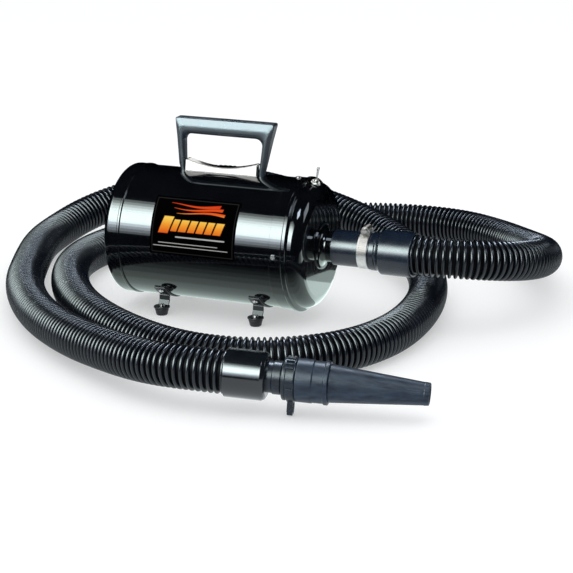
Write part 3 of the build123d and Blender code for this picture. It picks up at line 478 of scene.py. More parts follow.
def lathe(name, profile, mat, origin=ORG, axis=EX, ref=EZ, n=128, mod=None, sharp=32.0):
    bm = bmesh.new()
    lathe_bm(bm, profile, origin, axis, ref, n, mod)
    bmesh.ops.remove_doubles(bm, verts=bm.verts, dist=1e-7)
    bmesh.ops.dissolve_degenerate(bm, edges=bm.edges, dist=1e-8)
    return from_bm(bm, name, mat, sharp)


def prism_bm(bm, outline, w0, w1, origin, ex, ey, ez):
    """Extrudes a closed outline (mm) from w0 to w1 along ez."""
    lo = [bm.verts.new(origin + ex * (x * MM) + ey * (y * MM) + ez * (w0 * MM)) for x, y in outline]
    hi = [bm.verts.new(origin + ex * (x * MM) + ey * (y * MM) + ez * (w1 * MM)) for x, y in outline]
    n = len(outline)
    for i in range(n):
        j = (i + 1) % n
        bm.faces.new((lo[i], lo[j], hi[j], hi[i]))
    bm.faces.new(lo[::-1])
    bm.faces.new(hi)
    return bm


def bevel(o, width=0.4, segments=3, angle=30.0):
    m = o.modifiers.new("edge", "BEVEL")
    m.width, m.segments, m.limit_method, m.angle_limit = width * MM, segments, "ANGLE", radians(angle)
    m.harden_normals = True
    m.use_clamp_overlap = True
    return o


def baked(o):
    """Replaces an object's mesh by what its modifiers make of it."""
    dg = bpy.context.evaluated_depsgraph_get()
    me = bpy.data.meshes.new_from_object(o.evaluated_get(dg), depsgraph=dg)
    o.modifiers.clear()
    o.data = me
    return o


def grid_bm(bm, rows, close_u=True, close_v=False):
    """Quads over a grid of points. close_u joins each row's ends."""
    vs = [[bm.verts.new(p) for p in row] for row in rows]
    nr, nc = len(vs), len(vs[0])
    for i in range(nr if close_v else nr - 1):
        for j in range(nc if close_u else nc - 1):
            a, b = vs[i], vs[(i + 1) % nr]
            k = (j + 1) % nc
            bm.faces.new((a[j], a[k], b[k], b[j]))
    return vs


def add(piece, body, *nodes, slot=None):
    if piece.name != "corrugated_hose":
        true_flats(piece)
    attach(piece, body)
    if nodes:
        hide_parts(*nodes)
    return piece


def refined(node, body, mat, width=0.3, segments=2, angle=30.0, slot=None, name=None):
    """A CAD piece made again with merged flats and softened edges."""
    me = NODES[node].data.copy()
    for a in list(me.attributes):
        if a.name in ("custom_normal",):
            me.attributes.remove(a)
    bm = bmesh.new()
    bm.from_mesh(me)
    bmesh.ops.remove_doubles(bm, verts=bm.verts, dist=2e-6)
    bmesh.ops.dissolve_limit(bm, angle_limit=radians(0.6), verts=bm.verts, edges=bm.edges)
    o = from_bm(bm, name or node + "_finished", mat, 30.0)
    bevel(o, width, segments, angle)
    return add(o, body, node, slot=slot)


def on_body(angle, r, x):
    """A point on the blower: angle in degrees from the top towards -Y, r and x in mm."""
    a = radians(angle)
    return Vector((X(x), -r * MM * sin(a), AZ + r * MM * cos(a)))


# ------------------------------------------------------------------ the hose, first
ROUTE = [
    (372.0, 0.0, 97.5), (402.0, 0.0, 97.5), (440.0, 9.0, 96.0), (474.0, 32.0, 91.5),
    (497.0, 67.0, 84.5), (506.0, 111.0, 76.0), (503.0, 160.0, 66.0), (490.0, 214.0, 54.0),
    (467.0, 272.0, 41.5), (433.0, 331.0, 31.0), (384.0, 388.0, 25.0), (322.0, 423.5, 25.0),
    (248.5, 430.5, 25.0), (171.5, 414.0, 25.0), (93.5, 379.5, 25.0), (18.5, 330.5, 25.0),
    (-47.0, 270.5, 25.0), (-95.5, 200.5, 25.0), (-118.0, 122.5, 25.0), (-112.5, 36.5, 25.0),
    (-69.0, -57.5, 25.0), (1.0, -145.5, 25.0), (92.5, -214.5, 25.0), (187.0, -254.5, 25.0),
    (276.5, -245.0, 25.0), (348.5, -192.5, 25.0), (386.0, -111.0, 25.0), (391.0, -10.0, 25.0),
    (374.0, 93.0, 26.5), (333.5, 185.0, 33.0), (264.5, 254.0, 48.5), (167.0, 295.0, 68.0),
    (60.5, 323.0, 80.5), (-31.0, 344.5, 81.5), (-103.5, 334.0, 68.0), (-161.0, 298.0, 53.0),
    (-198.5, 244.0, 39.0), (-211.5, 180.5, 27.0), (-203.5, 114.5, 25.0), (-171.5, 28.5, 25.0),
    (-124.5, -79.5, 26.0), (-49.0, -183.5, 28.0), (38.0, -260.0, 31.0), (116.0, -308.5, 36.0),
    (179.5, -343.0, 42.0), (239.6, -354.3, 45.7), (288.6, -344.5, 43.1),
]
curve = bpy.data.curves.new("hose_route", "CURVE")
curve.dimensions = "3D"
spline = curve.splines.new("NURBS")
spline.points.add(len(ROUTE) - 1)
for p, (x, y, z) in zip(spline.points, ROUTE):
    p.co = (X(x), y * MM, z * MM, 1.0)
spline.order_u = 3
spline.use_endpoint_u = True
spline.resolution_u = 32
route_ob = bpy.data.objects.new("hose_route", curve)
scene.collection.objects.link(route_ob)
bpy.context.view_layer.update()
_me = bpy.data.meshes.new_from_object(route_ob.evaluated_get(bpy.context.evaluated_depsgraph_get()))
line = np.array([v.co for v in _me.vertices], float)
bpy.data.meshes.remove(_me)
bpy.data.objects.remove(route_ob, do_unlink=True)
steps = np.linalg.norm(np.diff(line, axis=0), axis=1)
dist = np.concatenate([[0.0], np.cumsum(steps)])
hose_length = float(dist[-1])

PITCH = 7.2
R_CREST, R_ROOT = 25.0, 20.9
# one corrugation: share of the pitch, radius
WAVE = []
for ph in (0.0, 0.09, 0.165, 0.195, 0.235, 0.29, 0.36, 0.43, 0.5, 0.57, 0.64, 0.71, 0.765, 0.805, 0.835, 0.91):
    q = abs(ph - 0.5) / 0.325
    hgt = (1 - q ** 2.2) ** (1 / 2.2) if q < 1 else 0.0
    WAVE.append((ph, R_ROOT + (R_CREST - R_ROOT) * hgt, hgt))
turns = int(round(hose_length * 1000 / PITCH))
pitch = hose_length / turns
rings = []
for k in range(turns):
    for ph, r, hgt in WAVE:
        rings.append(((k + ph) * pitch, r, hgt))
rings.append((hose_length, R_ROOT, 0.0))
at = np.array([r[0] for r in rings])
centre = np.stack([np.interp(at, dist, line[:, i]) for i in range(3)], axis=1)
# directions, smoothed over a few millimetres so that the rings turn evenly
fine = np.linspace(0, hose_length, 4000)
fc = np.stack([np.interp(fine, dist, line[:, i]) for i in range(3)], axis=1)
ft = np.gradient(fc, axis=0)
for _ in range(6):
    ft[1:-1] = (ft[:-2] + 2 * ft[1:-1] + ft[2:]) / 4
ft /= np.linalg.norm(ft, axis=1)[:, None]
tang = np.stack([np.interp(at, fine, ft[:, i]) for i in range(3)], axis=1)
tang /= np.linalg.norm(tang, axis=1)[:, None]
NR = 44
up = np.array([0.0, 0.0, 1.0])
normals = []
cur = up - tang[0] * up.dot(tang[0])
for tv in tang:
    cur = cur - tv * cur.dot(tv)
    cur /= np.linalg.norm(cur)
    normals.append(cur)
normals = np.array(normals)
binormals = np.cross(tang, normals)
ang = np.linspace(0, 2 * pi, NR, endpoint=False)
rad = np.array([r[1] for r in rings]) * MM
pts = centre[:, None, :] + rad[:, None, None] * (
    normals[:, None, :] * np.cos(ang)[None, :, None] + binormals[:, None, :] * np.sin(ang)[None, :, None])
nring = len(rings)
faces = []
for i in range(nring - 1):
    a, b = i * NR, (i + 1) * NR
    faces.extend((a + j, b + j, b + (j + 1) % NR, a + (j + 1) % NR) for j in range(NR))
faces.append(tuple(range(NR)))
faces.append(tuple((nring - 1) * NR + j for j in reversed(range(NR))))
hm = bpy.data.meshes.new("corrugated_hose")
hm.from_pydata(pts.reshape(-1, 3).tolist(), [], faces)
att = hm.attributes.new("crest", "FLOAT", "POINT")
att.data.foreach_set("value", np.repeat(np.array([r[2] for r in rings], np.float32), NR))
bmh = bmesh.new()
bmh.from_mesh(hm)
bmesh.ops.recalc_face_normals(bmh, faces=bmh.faces)
bmh.to_mesh(hm)
bmh.free()
hose = link(hm, "corrugated_hose", HOSE, 80.0)
add(hose, "blower", "hose", slot="hose_vinyl")

# ------------------------------------------------------------------ blower shell
housing = lathe("painted_housing", fillet([(5, 81.3), (5, 82.5, 0.3), (236, 82.5, 0.3), (236, 81.3)], 2),
                PAINT, n=192)
add(housing, "blower", "housing", slot="body_paint")

rc_prof = (fillet([(17.7, 82.6), (17.7, 84.15, 0.75), (14.9, 84.15, 0.7), (14.3, 83.45, 0.3)], 4, closed=False)[:-1]
           + [(14.2, 83.5)] + arc(3.5, 74.5, 9.0, 90, 180, 14) + [(-5.5, 70.0), (-5.5, 0.0), (-4.3, 0.0), (-4.3, 74.5)]
           + arc(3.5, 74.5, 7.9, 180, 90, 12)[1:])
rc_prof = [(17.7, 82.6)] + [p for p in rc_prof if p != (17.7, 82.6)]
rear = lathe("rear_cap_shell", rc_prof, PAINT, n=192)
bmc = bmesh.new()
for rr, n in ((14, 6), (24, 12), (34, 18), (44, 24)):
    for k in range(n):
        a = 2 * pi * k / n
        lathe_bm(bmc, [(-9, 0), (-9, 3.0), (-1, 3.0), (-1, 0)],
                 ORG + EY * (rr * MM * cos(a)) + EZ * (rr * MM * sin(a)), EX, EZ, 20)
lathe_bm(bmc, [(-9, 0), (-9, 8.0), (-1, 8.0), (-1, 0)], ORG - EZ * 0.062, EX, EZ, 40)
bmesh.ops.remove_doubles(bmc, verts=bmc.verts, dist=1e-7)
bmesh.ops.dissolve_degenerate(bmc, edges=bmc.edges, dist=1e-8)
cutter = from_bm(bmc, "cutter")
bo = rear.modifiers.new("vents", "BOOLEAN")
bo.operation, bo.solver, bo.object = "DIFFERENCE", "EXACT", cutter
baked(rear)
bpy.data.objects.remove(cutter, do_unlink=True)
link_me = rear.data
link_me.polygons.foreach_set("use_smooth", [True] * len(link_me.polygons))
link_me.set_sharp_from_angle(angle=radians(30))
add(rear, "blower", "rear_cap", slot="body_paint")

fc_prof = ([(220.5, 82.6)] + fillet([(220.5, 82.6), (220.5, 83.55, 0.45), (236.2, 83.55, 0.7), (237.4, 85.2, 1.1),
                                     (242.0, 85.2, 1.8), (243.3, 80.3, 0.5), (245.0, 79.95, 0.6)], 6, closed=False)[1:-1]
           + arc(244.0, 63.0, 17.0, 86, 0, 22) + [(261.0, 40.0), (261.0, 19.6), (259.8, 19.6), (259.8, 63.0)]
           + arc(244.0, 63.0, 15.8, 0, 90, 16)[1:] + [(237.5, 78.8), (237.5, 82.6)])
front = lathe("front_cap_shell", fc_prof, PAINT, n=192)
add(front, "blower", "front_cap", slot="body_paint")

neck = lathe("outlet_neck_turned", fillet([(261, 17.2), (261, 29.4), (262.4, 29.4, 0.5)], 3, closed=False)
             + arc(270.6, 27.0, 8.0, 180, 270, 12) + [(326, 19.0), (326, 17.2)], PAINT, n=128)
add(neck, "blower", "outlet_neck", slot="body_paint")

# badge, bowed to the shell
bm = bmesh.new()
NU, NV = 40, 30
rows = []
for i in range(NU + 1):
    x = 61.0 + 114.5 * i / NU
    rows.append([on_body(43.5 + 52.0 * j / NV, 82.92, x) for j in range(NV + 1)])
vs = grid_bm(bm, rows, close_u=False)
uvl = bm.loops.layers.uv.new("plate")
where = {v: (i / NU, 1 - j / NV) for i, row in enumerate(vs) for j, v in enumerate(row)}
for f in bm.faces:
    for lp in f.loops:
        lp[uvl].uv = where[lp.vert]
bmesh.ops.recalc_face_normals(bm, faces=bm.faces)
me = bpy.data.meshes.new("badge_plate")
bm.to_mesh(me)
bm.free()
badge = link(me, "badge_plate", BADGE)
so = badge.modifiers.new("thick", "SOLIDIFY")
so.thickness, so.offset = 0.00034, -1.0
baked(badge)
nrm = badge.data.polygons[0].normal
add(badge, "blower", "front_badge", slot="badge_print")

refined("band_screws", "blower", ZINC, 0.25, 3, slot="bright_steel")
refined("cord_gland", "blower", GLAND, 0.5, 3, slot="gland_nylon")

# ------------------------------------------------------------------ handle
def lerp(points, k):
    """Evenly spaced points along an open line."""
    p = [Vector(q) for q in points]
    d = [0.0]
    for a, b in zip(p, p[1:]):
        d.append(d[-1] + (b - a).length)
    out = []
    for i in range(k):
        s = d[-1] * i / (k - 1)
        j = max(0, min(len(p) - 2, next((n for n in range(len(d) - 1) if d[n + 1] >= s), len(p) - 2)))
        u = (s - d[j]) / max(1e-9, d[j + 1] - d[j])
        out.append(p[j].lerp(p[j + 1], u))
    return out


def joined(*parts):
    """Three stretches, leg, bar, leg, with their own numbers of points."""
    out = []
    for pts_, k in parts:
        seg = lerp(pts_, k)
        out += seg if not out else seg[1:]
    return out


outer = joined((fillet([(68.9, 178.0), (68.8, 182.6, 2.5), (66.9, 188.0, 10), (65.0, 225, 60), (63.8, 240)], 6, False), 30),
               (fillet([(63.8, 240), (63.3, 248.0, 2.2), (70, 248.05)], 8, False), 12),
               (fillet([(70, 248.05), (130, 248.15, 200), (190, 248.05)], 6, False), 36),
               (fillet([(190, 248.05), (198.8, 248.0, 2.2), (196.8, 240)], 8, False), 12),
               (fillet([(196.8, 240), (192.7, 225, 60), (184.2, 190, 30), (182.2, 182.6, 6), (182.2, 178.0)], 6, False), 30))
inner = joined((fillet([(75.4, 178.0), (75.4, 188, 20), (75.0, 212)], 6, False), 30),
               (fillet([(75.0, 212), (74.9, 227.6, 9.5), (87.0, 227.6)], 10, False), 12),
               (fillet([(87.0, 227.6), (128, 227.3, 300), (171.0, 227.3)], 6, False), 36),
               (fillet([(171.0, 227.3), (181.6, 226.6, 8.5), (180.0, 213)], 10, False), 12),
               (fillet([(180.0, 213), (177.7, 197, 60), (175.8, 184, 20), (175.6, 178.0)], 6, False), 30))
SECTION = fillet([(0.0, -0.66, 0.07), (0.055, -0.80, 0.05), (0.50, -1.0, 0.35), (0.80, -0.93, 0.25), (1.0, -0.42, 0.16),
                  (1.0, 0.42, 0.16), (0.80, 0.93, 0.25), (0.50, 1.0, 0.35), (0.055, 0.80, 0.05), (0.0, 0.66, 0.07)], 5)
rows = []
last = len(outer) - 1
for i, (a, b) in enumerate(zip(outer, inner)):
    zmid = (a.y + b.y) / 2
    hd = 6.1 + (8.6 - 6.1) * max(0.0, min(1.0, (zmid - 183) / 48.0)) ** 1.1
    row = []
    for u, w in SECTION:
        x, z = a.x + (b.x - a.x) * u, a.y + (b.y - a.y) * u
        y = w * hd
        if i in (0, last):
            z = 97.5 + sqrt(82.45 ** 2 - y * y)
        row.append(Vector((X(x), y * MM, z * MM)))
    rows.append(row)
bm = bmesh.new()
vs = grid_bm(bm, rows, close_u=True)
bm.faces.new(vs[0])
bm.faces.new(vs[-1][::-1])
handle = from_bm(bm, "moulded_handle", HANDLE, 38.0)
add(handle, "blower", "carry_handle", slot="handle_plastic")

# ------------------------------------------------------------------ chromed saddle between the legs
rows = []
xs = [76.0 + 0.02, 76.35, 77.0, 78.0, 79.4] + [81 + 89.2 * k / 44 for k in range(45)] + [171.8, 173.2, 174.2, 174.85, 175.18]
for x in xs:
    c = (x - 125.6) / 49.6
    zt = 187.0 + 8.7 * abs(c) ** 1.9
    e = min(x - 76.0, 175.2 - x)
    soft = 0.0 if e >= 3.2 else (3.2 - sqrt(max(0.0, 3.2 ** 2 - (3.2 - e) ** 2)))
    zt -= soft * 0.9
    wb, wt = 8.6 - soft * 0.35, 6.3 - soft * 0.35
    sec = fillet([(-wb - 0.9, 178.7), (-wb - 0.9, 180.4, 0.35), (-wb, 180.9, 0.5), (-wt, zt, 2.0), (wt, zt, 2.0),
                  (wb, 180.9, 0.5), (wb + 0.9, 180.4, 0.35), (wb + 0.9, 178.7)], 5)
    rows.append([Vector((X(x), y * MM, max(z, 97.5 + sqrt(82.5 ** 2 - y * y)) * MM)) for y, z in sec])
bm = bmesh.new()
vs = grid_bm(bm, rows, close_u=True)
bm.faces.new(vs[0])
bm.faces.new(vs[-1][::-1])
saddle = from_bm(bm, "chrome_saddle", CHROME, 40.0)
add(saddle, "blower", "handle_saddle", slot="chrome")

# ------------------------------------------------------------------ feet
FEET_X = (61.3, 190.8)
Y_FOOT = 51.8


def strip(bm, path, width, thick, xc):
    """A flat strip bent along a (y, z) path, in mm."""
    p = [Vector(q) for q in path]
    left, right = [], []
    for i, q in enumerate(p):
        a, b = p[max(0, i - 1)], p[min(len(p) - 1, i + 1)]
        d = (b - a).normalized()
        nn = Vector((-d.y, d.x)) * thick / 2
        left.append(q + nn)
        right.append(q - nn)
    loop = left + right[::-1]
    prism_bm(bm, [(v.x, v.y) for v in loop], -width / 2, width / 2, Vector((X(xc), 0, 0)), EY, EZ, EX)


for xf, tag in zip(FEET_X, ("rear", "front")):
    bm = bmesh.new()
    band = [(-83.55 * sin(radians(a)), 97.5 + 83.55 * cos(radians(a))) for a in np.linspace(136, 224, 60)]
    strip(bm, band, 15.0, 1.9, xf)
    for s in (1, -1):
        leg = fillet([(-s * 40.6, 25.2), (-s * 42.4, 23.0, 1.5), (-s * 42.9, 16.6, 3.0), (-s * 47.2, 10.25, 3.0),
                      (-s * 52.0, 10.18)], 7, closed=False)
        strip(bm, leg, 14.4, 1.9, xf)
        lathe_bm(bm, fillet([(9.2, 2.4), (9.2, 10.4, 0.4), (11.2, 10.4, 0.5), (11.2, 2.4)], 3),
                 Vector((X(xf), -s * Y_FOOT * MM, 0)), EZ, EX, 48)
    o = from_bm(bm, f"foot_bracket_{tag}_formed", BRACKET, 32.0)
    bevel(o, 0.45, 3, 40)
    add(o, "blower", f"foot_bracket_{tag}", slot="bracket_paint")

foot_names = ("rubber_foot_rear_left", "rubber_foot_rear_right", "rubber_foot_front_left", "rubber_foot_front_right")
foot_prof = fillet([(2.2, 2.3), (2.2, 4.4, 0.3), (0.0, 4.5, 0.5), (0.0, 7.0, 0.9), (2.6, 7.9, 1.0), (3.4, 7.75, 0.3),
                    (4.2, 8.2, 0.3), (7.6, 9.0, 0.9), (9.1, 8.7, 0.6), (9.1, 2.3)], 4)
for i, (xf, s) in enumerate([(x, s) for x in FEET_X for s in (1, -1)]):
    lo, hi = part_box(foot_names[i])
    o = lathe(foot_names[i] + "_moulded", foot_prof, FOOT, Vector(((lo.x + hi.x) / 2, (lo.y + hi.y) / 2, lo.z)), EZ, EX, 56)
    add(o, "blower", foot_names[i], slot="foot_rubber")
refined("foot_screws", "blower", ZINC, 0.25, 3, slot="bright_steel")
refined("bracket_rivets", "blower", ZINC, 0.4, 3, slot="bright_steel")

# ------------------------------------------------------------------ toggle switch
sw = JOINT["switch_toggle"]
PIVOT = Vector(sw["pos_m"])
st = radians(22.0)
SW_D = Vector((sin(st), 0, cos(st)))
SW_B = PIVOT - SW_D * 3.6 * MM
o = lathe("switch_bushing_threaded",
          [(-2.9, 1.95), (-2.9, 3.1)]
          + [(h, r) for k in range(9) for h, r in ((-2.4 + k * 0.9, 3.15), (-1.95 + k * 0.9, 2.86))]
          + [(5.9, 3.15), (6.4, 2.8), (6.5, 2.5), (1.6, 1.95)],
          CHROME, SW_B, SW_D, EY, 64)
add(o, "blower", "switch_bushing", slot="chrome")
refined("switch_nut", "blower", CHROME, 0.45, 3, slot="chrome")
lt = radians(22.0 - 13.0)
LV = Vector((sin(lt), 0, cos(lt)))
o = lathe("switch_lever_bat",
          [(-1.85, 0.0)] + arc(0.0, 0.0, 1.85, 172, 40, 10)
          + fillet([(1.6, 1.0), (4.0, 0.98, 2), (14.0, 1.62, 6), (15.9, 1.88, 1.5)], 4, False)
          + arc(16.4, 0.0, 1.9, 84, 2, 8) + [(18.3, 0.0)],
          CHROME, PIVOT, LV, EY, 48)
add(o, "switch_lever", "switch_lever", slot="chrome")

# ------------------------------------------------------------------ cuff and clamp at the outlet
cuff_prof = fillet([(278.0, 19.1), (278.0, 22.3, 0.7), (327.0, 22.3, 0.9), (328.4, 24.0, 0.8), (334.3, 24.0, 0.9),
                    (335.6, 23.2, 0.6), (337.2, 23.5, 1.2), (341.8, 28.0, 2.4), (382.0, 28.0, 0.9), (382.0, 25.15, 0.3),
                    (372.0, 25.15), (372.0, 21.0), (340.0, 21.0), (331.0, 19.1)], 5)
cuff = lathe("dryer_cuff_moulded", cuff_prof, CUFF, n=128)
add(cuff, "blower", "dryer_end_cuff", slot="cuff_vinyl")


def slots(a, s, r):
    deg = (a * 180 / pi + 180) % 360 - 180
    if r > 22.9 and abs(s - 319.25) < 3.6 and abs(deg) > 28:
        ph = (deg / 6.0) % 1.0
        if 0.30 < ph < 0.62:
            return r - 0.42
    return r


bm = bmesh.new()
lathe_bm(bm, fillet([(313.0, 22.35), (313.0, 23.45, 0.12), (313.7, 23.2, 0.3), (315.45, 23.15), (315.9, 23.15), (319.25, 23.15),
                     (322.6, 23.15), (323.05, 23.15), (324.8, 23.2, 0.3), (325.5, 23.45, 0.12), (325.5, 22.35)], 2),
         ORG, EX, EZ, 540, slots)
strip_path = fillet([(6.0, 120.0), (11.0, 119.2, 12), (17.6, 117.2)], 5, closed=False)
p = [Vector(q) for q in strip_path]
prism = []
for i, q in enumerate(p):
    a, b = p[max(0, i - 1)], p[min(len(p) - 1, i + 1)]
    d = (b - a).normalized()
    prism.append((q, Vector((-d.y, d.x)) * 0.36))
loop = [(q + nn) for q, nn in prism] + [(q - nn) for q, nn in prism[::-1]]
prism_bm(bm, [(v.x, v.y) for v in loop], -5.3, 5.3, Vector((X(319.25), 0, 0)), EY, EZ, EX)
o = from_bm(bm, "clamp_band_pressed", STAINLESS, 28.0)
add(o, "blower", "hose_clamp_band", slot="stainless")
refined("hose_clamp_housing", "blower", STAINLESS, 0.5, 3, slot="stainless")
refined("hose_clamp_screw", "clamp_screw", STAINLESS, 0.35, 3, slot="stainless")

# ------------------------------------------------------------------ nozzle end
nz = dict(origin=NZ_O, axis=NZ_D, ref=NZ_S)
o = lathe("nozzle_cuff_moulded",
          fillet([(-68.4, 25.15, 0.2), (-68.4, 27.2, 0.7), (-27.2, 27.2, 1.3), (-23.6, 25.4, 1.3), (-22.0, 22.4, 0.8),
                  (-22.0, 17.45), (-29.0, 17.45), (-29.0, 21.0), (-58.4, 21.0), (-58.4, 25.15)], 6), GLOSSCUFF, n=128, **nz)
add(o, "blower", "nozzle_end_cuff", slot="nozzle_cuff_gloss")
o = lathe("swivel_turned",
          fillet([(-33.0, 14.6), (-33.0, 20.6, 0.3), (-29.4, 20.6, 0.3), (-29.4, 17.4), (-16.2, 17.4, 0.5), (-15.2, 18.6, 0.5),
                  (-6.6, 18.6, 0.5), (-5.8, 17.4, 0.2), (38.0, 17.4, 0.4), (40.0, 16.8, 0.4), (40.0, 14.6)], 4),
          NYLON, n=112, **nz)
add(o, "swivel", "swivel_connector", slot="connector_black")

# lock ring: grooved hoop, grip ribs over its top, a pad on the viewer's side and the thumb tab below it
TAB = radians(10.0)


def ring_dir(a):
    """a: radians from straight down towards the viewer."""
    return NZ_DOWN * cos(a) + NZ_S * sin(a)


bm = bmesh.new()
lathe_bm(bm, fillet([(-4.3, 17.45), (-4.3, 23.0, 0.6), (-2.9, 23.8, 0.4), (-0.8, 23.8, 0.3), (-0.2, 23.2, 0.3), (8.0, 23.2, 0.3),
                     (8.4, 23.8, 0.3), (9.8, 23.5, 0.5), (9.8, 17.45)], 3), NZ_O, NZ_D, NZ_S, 112)
for k in range(9):
    a = TAB + pi + radians(-52 + 13 * k)
    d, e = ring_dir(a), ring_dir(a + pi / 2)
    prism_bm(bm, fillet([(22.4, -1.15), (25.3, -0.85, 0.5), (25.3, 0.85, 0.5), (22.4, 1.15)], 3), -1.6, 7.6,
             NZ_O, d, e, NZ_D)
pad = []
for k in range(15):
    a = radians(4 + 78 * k / 14)
    pad.append((25.1 * cos(a), 25.1 * sin(a)))
pad += [(22.6 * cos(radians(82 - 78 * k / 14)), 22.6 * sin(radians(82 - 78 * k / 14))) for k in range(15)]
prism_bm(bm, pad, 1.6, 9.2, NZ_O, NZ_DOWN, NZ_S, NZ_D)
prism_bm(bm, fillet([(20.0, -7.6), (33.0, -6.0, 8), (39.0, -4.6, 1.4), (39.6, 4.4, 1.4), (31.0, 6.6, 8), (20.0, 9.0)], 5),
         2.3, 8.7, NZ_O, ring_dir(TAB), ring_dir(TAB + pi / 2), NZ_D)
prism_bm(bm, fillet([(26.0, -3.4, 0.4), (36.6, -2.4, 0.8), (36.6, 2.4, 0.8), (26.0, 3.4, 0.4)], 3),
         1.5, 9.5, NZ_O, ring_dir(TAB), ring_dir(TAB + pi / 2), NZ_D)
o = from_bm(bm, "lock_ring_ribbed", NYLON, 30.0)
bevel(o, 0.4, 3, 35)
add(o, "lock_ring", "lock_ring", slot="connector_black")

o = lathe("coupler_moulded",
          fillet([(10.3, 17.5), (10.3, 24.0, 0.9), (28.0, 24.0, 1.0), (29.3, 23.3, 1.0), (40.6, 23.15, 0.8), (42.0, 24.4, 0.7),
                  (45.8, 24.4, 0.8), (46.4, 23.2, 0.5), (46.4, 17.5)], 5), NOZZLE, n=112, **nz)
add(o, "nozzle", "nozzle_coupler", slot="nozzle_rubber")


def seam(a, s, r):
    """Mould line down both sides of the tapered nozzle."""
    if s > 49 and r > 11.0:
        d = abs(((a + pi / 2) % pi) - pi / 2)
        return r + 0.22 * max(0.0, 1 - d / 0.045)
    return r


nozzle_prof = fillet([(40.6, 14.4), (40.6, 17.4), (46.7, 17.4), (46.7, 21.2, 0.3), (49.4, 21.0, 1.2), (80, 18.55), (112, 15.9),
                      (149.5, 12.75, 1.0), (150.6, 12.95, 0.6), (154.9, 12.6, 0.7), (155.7, 11.7, 0.5), (155.7, 9.5, 0.4),
                      (140.0, 9.5), (60.0, 14.4)], 4)
o = lathe("air_nozzle_moulded", nozzle_prof, NOZZLE, n=160, mod=seam, origin=NZ_O, axis=NZ_D,
          ref=(NZ_S + NZ_DOWN * -0.55).normalized())
add(o, "nozzle", "air_nozzle", slot="nozzle_rubber")

# ------------------------------------------------------------------ what stays as it was drawn, with a real finish
KEEP = {
    "handle_screws": ZINC, "switch_body": PHENOLIC, "inlet_filter": FILTER, "filter_ring": RINGP, "fan_gasket": GASKET,
    "fan_case": ALU, "fan_wheel_1": ALU, "fan_wheel_2": ALU, "stage_diffuser": ALU, "motor_end_bracket": CASTALU,
    "motor_frame": PLATED, "stator_core": LAMINATED, "field_coils": COPPER, "armature_core": LAMINATED,
    "commutator": COPPER, "motor_shaft": GROUND, "fan_end_bearing": GROUND, "brush_end_bearing": GROUND,
    "brush_holders": BRASS, "carbon_brushes": CARBON, "rubber_motor_mount": GASKET, "foam_liner": LINER,
}
for n, m in KEEP.items():
    NODES[n].data.materials.clear()
    NODES[n].data.materials.append(m)


# ------------------------------------------------------------------ floor and light
def plain(name, colour, rough):
    m, t, b = new_material(name)
    t.links.new(blend_colour(t, noise(t, coords(t), 3.0), colour, tuple(c * 0.985 for c in colour)), b.inputs["Base Color"])
    b.inputs["Roughness"].default_value = rough
    b.inputs["Specular IOR Level"].default_value = 0.1
    return m


FLOOR = plain("floor", (0.62, 0.62, 0.62), 0.9)
_fb = FLOOR.node_tree.nodes["Principled BSDF"]
_fb.inputs["Emission Color"].default_value = (0.985, 0.995, 1.0, 1)
_fb.inputs["Emission Strength"].default_value = 0.42
bm = bmesh.new()
bmesh.ops.create_grid(bm, x_segments=8, y_segments=8, size=9.0)
floor = from_bm(bm, "floor", FLOOR)
floor.location.z = -0.0004

world = bpy.data.worlds.new("studio")
scene.world = world
world.use_nodes = True
world.node_tree.nodes["Background"].inputs[0].default_value = (0.97, 0.985, 1.0, 1)
world.node_tree.nodes["Background"].inputs[1].default_value = 0.97
world.cycles_visibility.glossy = False


def softbox(name, centre, aim, w, h, radiance, colour=(1, 1, 1), diffuse=True, glossy=True):
    d = bpy.data.lights.new(name, "AREA")
    d.shape, d.size, d.size_y = "RECTANGLE", w, h
    d.energy = radiance * pi * w * h
    d.color = colour
    o = bpy.data.objects.new(name, d)
    scene.collection.objects.link(o)
    o.location = centre
    o.rotation_mode = "QUATERNION"
    o.rotation_quaternion = (Vector(aim) - Vector(centre)).to_track_quat("-Z", "Y")
    o.visible_diffuse, o.visible_glossy, o.visible_camera = diffuse, glossy, False
    return o


def direction(a, e):
    """Azimuth from -Y towards +X, elevation, in degrees."""
    a, e = radians(a), radians(e)
    return Vector((sin(a) * cos(e), -cos(a) * cos(e), sin(e)))


aim = Vector((0.0, 0.0, 0.12))
TEAL = (0.86, 1.0, 0.985)
STRIPS = ((51.0, 1.6), (47.0, 3.6), (43.0, 7.0), (39.0, 10.6), (35.0, 13.2), (31.0, 14.4), (27.0, 14.8), (23.0, 14.8),
          (19.0, 13.6), (15.0, 8.4), (11.0, 4.6), (7.0, 2.4), (3.5, 1.2))
lights = [softbox(f"key_{k}", aim + direction(-25, e) * 1.8, aim, 2.2, 0.128, r, TEAL if e > 16 else (0.80, 0.92, 1.0),
                  diffuse=False) for k, (e, r) in enumerate(STRIPS)]
lights.append(softbox("side", aim + direction(105, 30) * 2.2, aim, 0.8, 0.8, 2.4, (0.78, 0.89, 1.0), diffuse=False))
lights.append(softbox("over", aim + direction(50, 60) * 2.2, aim, 0.6, 0.6, 10.0, (0.74, 0.87, 1.0), diffuse=False))
rim = softbox("rim", aim + direction(-138, 58) * 2.2, aim, 1.7, 0.45, 26.0, (0.72, 0.85, 1.0), diffuse=False)
softbox("fill", aim + direction(20, 70) * 2.2, aim, 2.0, 2.0, 0.8, (1.0, 0.99, 0.97), glossy=False)

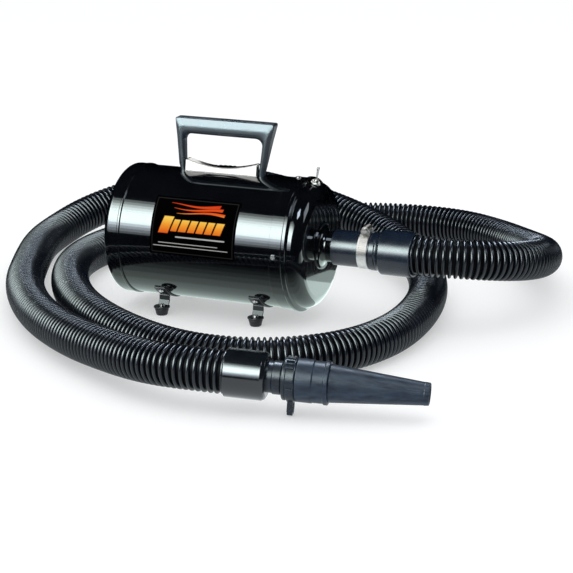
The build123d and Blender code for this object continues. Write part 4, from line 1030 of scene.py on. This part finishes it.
# bright metal gets gentler cards in the same places, so that it isn't burnt out
METAL = [o for o in bpy.data.objects if o.type == "MESH" and o.data.materials
         and o.data.materials[0] in (CHROME, STAINLESS, ZINC)]
shy = bpy.data.collections.new("bright_metal_off")
only = bpy.data.collections.new("bright_metal_on")
for o in METAL:
    shy.objects.link(o)
    only.objects.link(o)
for c in shy.collection_objects:
    c.light_linking.link_state = "EXCLUDE"
for o in lights:
    o.light_linking.receiver_collection = shy
shyer = bpy.data.collections.new("rim_off")
for o in bpy.data.objects:
    if o.type == "MESH" and o.data.materials and o.data.materials[0] in (CHROME, STAINLESS, ZINC, PAINT, BADGE, CUFF, GLOSSCUFF):
        shyer.objects.link(o)
for c in shyer.collection_objects:
    c.light_linking.link_state = "EXCLUDE"
rim.light_linking.receiver_collection = shyer

# the table seen in the gloss: the paint sees only what lies close under it, everything else a wide one
floor.visible_glossy = False


def only_for(name, mats, exclude=False):
    c = bpy.data.collections.new(name)
    for o in bpy.data.objects:
        if o.type == "MESH" and o.data.materials and o.data.materials[0] in mats:
            c.objects.link(o)
    if exclude:
        for k in c.collection_objects:
            k.light_linking.link_state = "EXCLUDE"
    return c


def table(name, x0, x1, y0, y1, radiance, colour, receivers):
    c = Vector(((x0 + x1) / 2, (y0 + y1) / 2, 0.0002))
    o = softbox(name, c, c + EZ, x1 - x0, y1 - y0, radiance, colour, diffuse=False)
    o.rotation_quaternion = Vector((0, 0, 1)).to_track_quat("-Z", "Y")
    o.light_linking.receiver_collection = receivers


painted = only_for("painted", (PAINT,))
others = only_for("not_painted", (PAINT,), True)
table("table_wide", -1.0, 1.0, -0.9, 0.9, 0.80, (0.90, 0.97, 1.0), others)
for k, (y0, y1, r) in enumerate(((-0.190, -0.165, 0.05), (-0.165, -0.140, 0.13), (-0.140, -0.118, 0.25), (-0.118, -0.095, 0.40),
                                 (-0.095, -0.070, 0.58), (-0.070, -0.045, 0.74), (-0.045, 0.020, 0.80), (0.020, 0.160, 1.9),
                                 (0.160, 0.220, 0.9))):
    table(f"table_{k}", -0.45, 0.75, y0, y1, r, (0.80, 0.98, 0.93), painted)
front_card = softbox("front_card", aim + direction(-21, 5) * 1.75, aim, 1.5, 0.34, 14.0, (0.72, 0.95, 1.0), diffuse=False)
front_card.light_linking.receiver_collection = only_for("moulded_grip", (HANDLE,))
for nm, a, e, w, h, rad in (("metal_key", -25, 30, 2.6, 1.9, 1.35), ("metal_over", 50, 60, 0.8, 0.8, 1.6), ("metal_top", -40, 78, 1.6, 0.8, 1.3),
                            ("metal_rim", 205, 38, 1.6, 0.9, 1.0), ("metal_side", 105, 30, 1.0, 1.0, 1.0)):
    o = softbox(nm, aim + direction(a, e) * 1.75, aim, w, h, rad, (1.0, 0.995, 0.98), diffuse=False)
    o.light_linking.receiver_collection = only
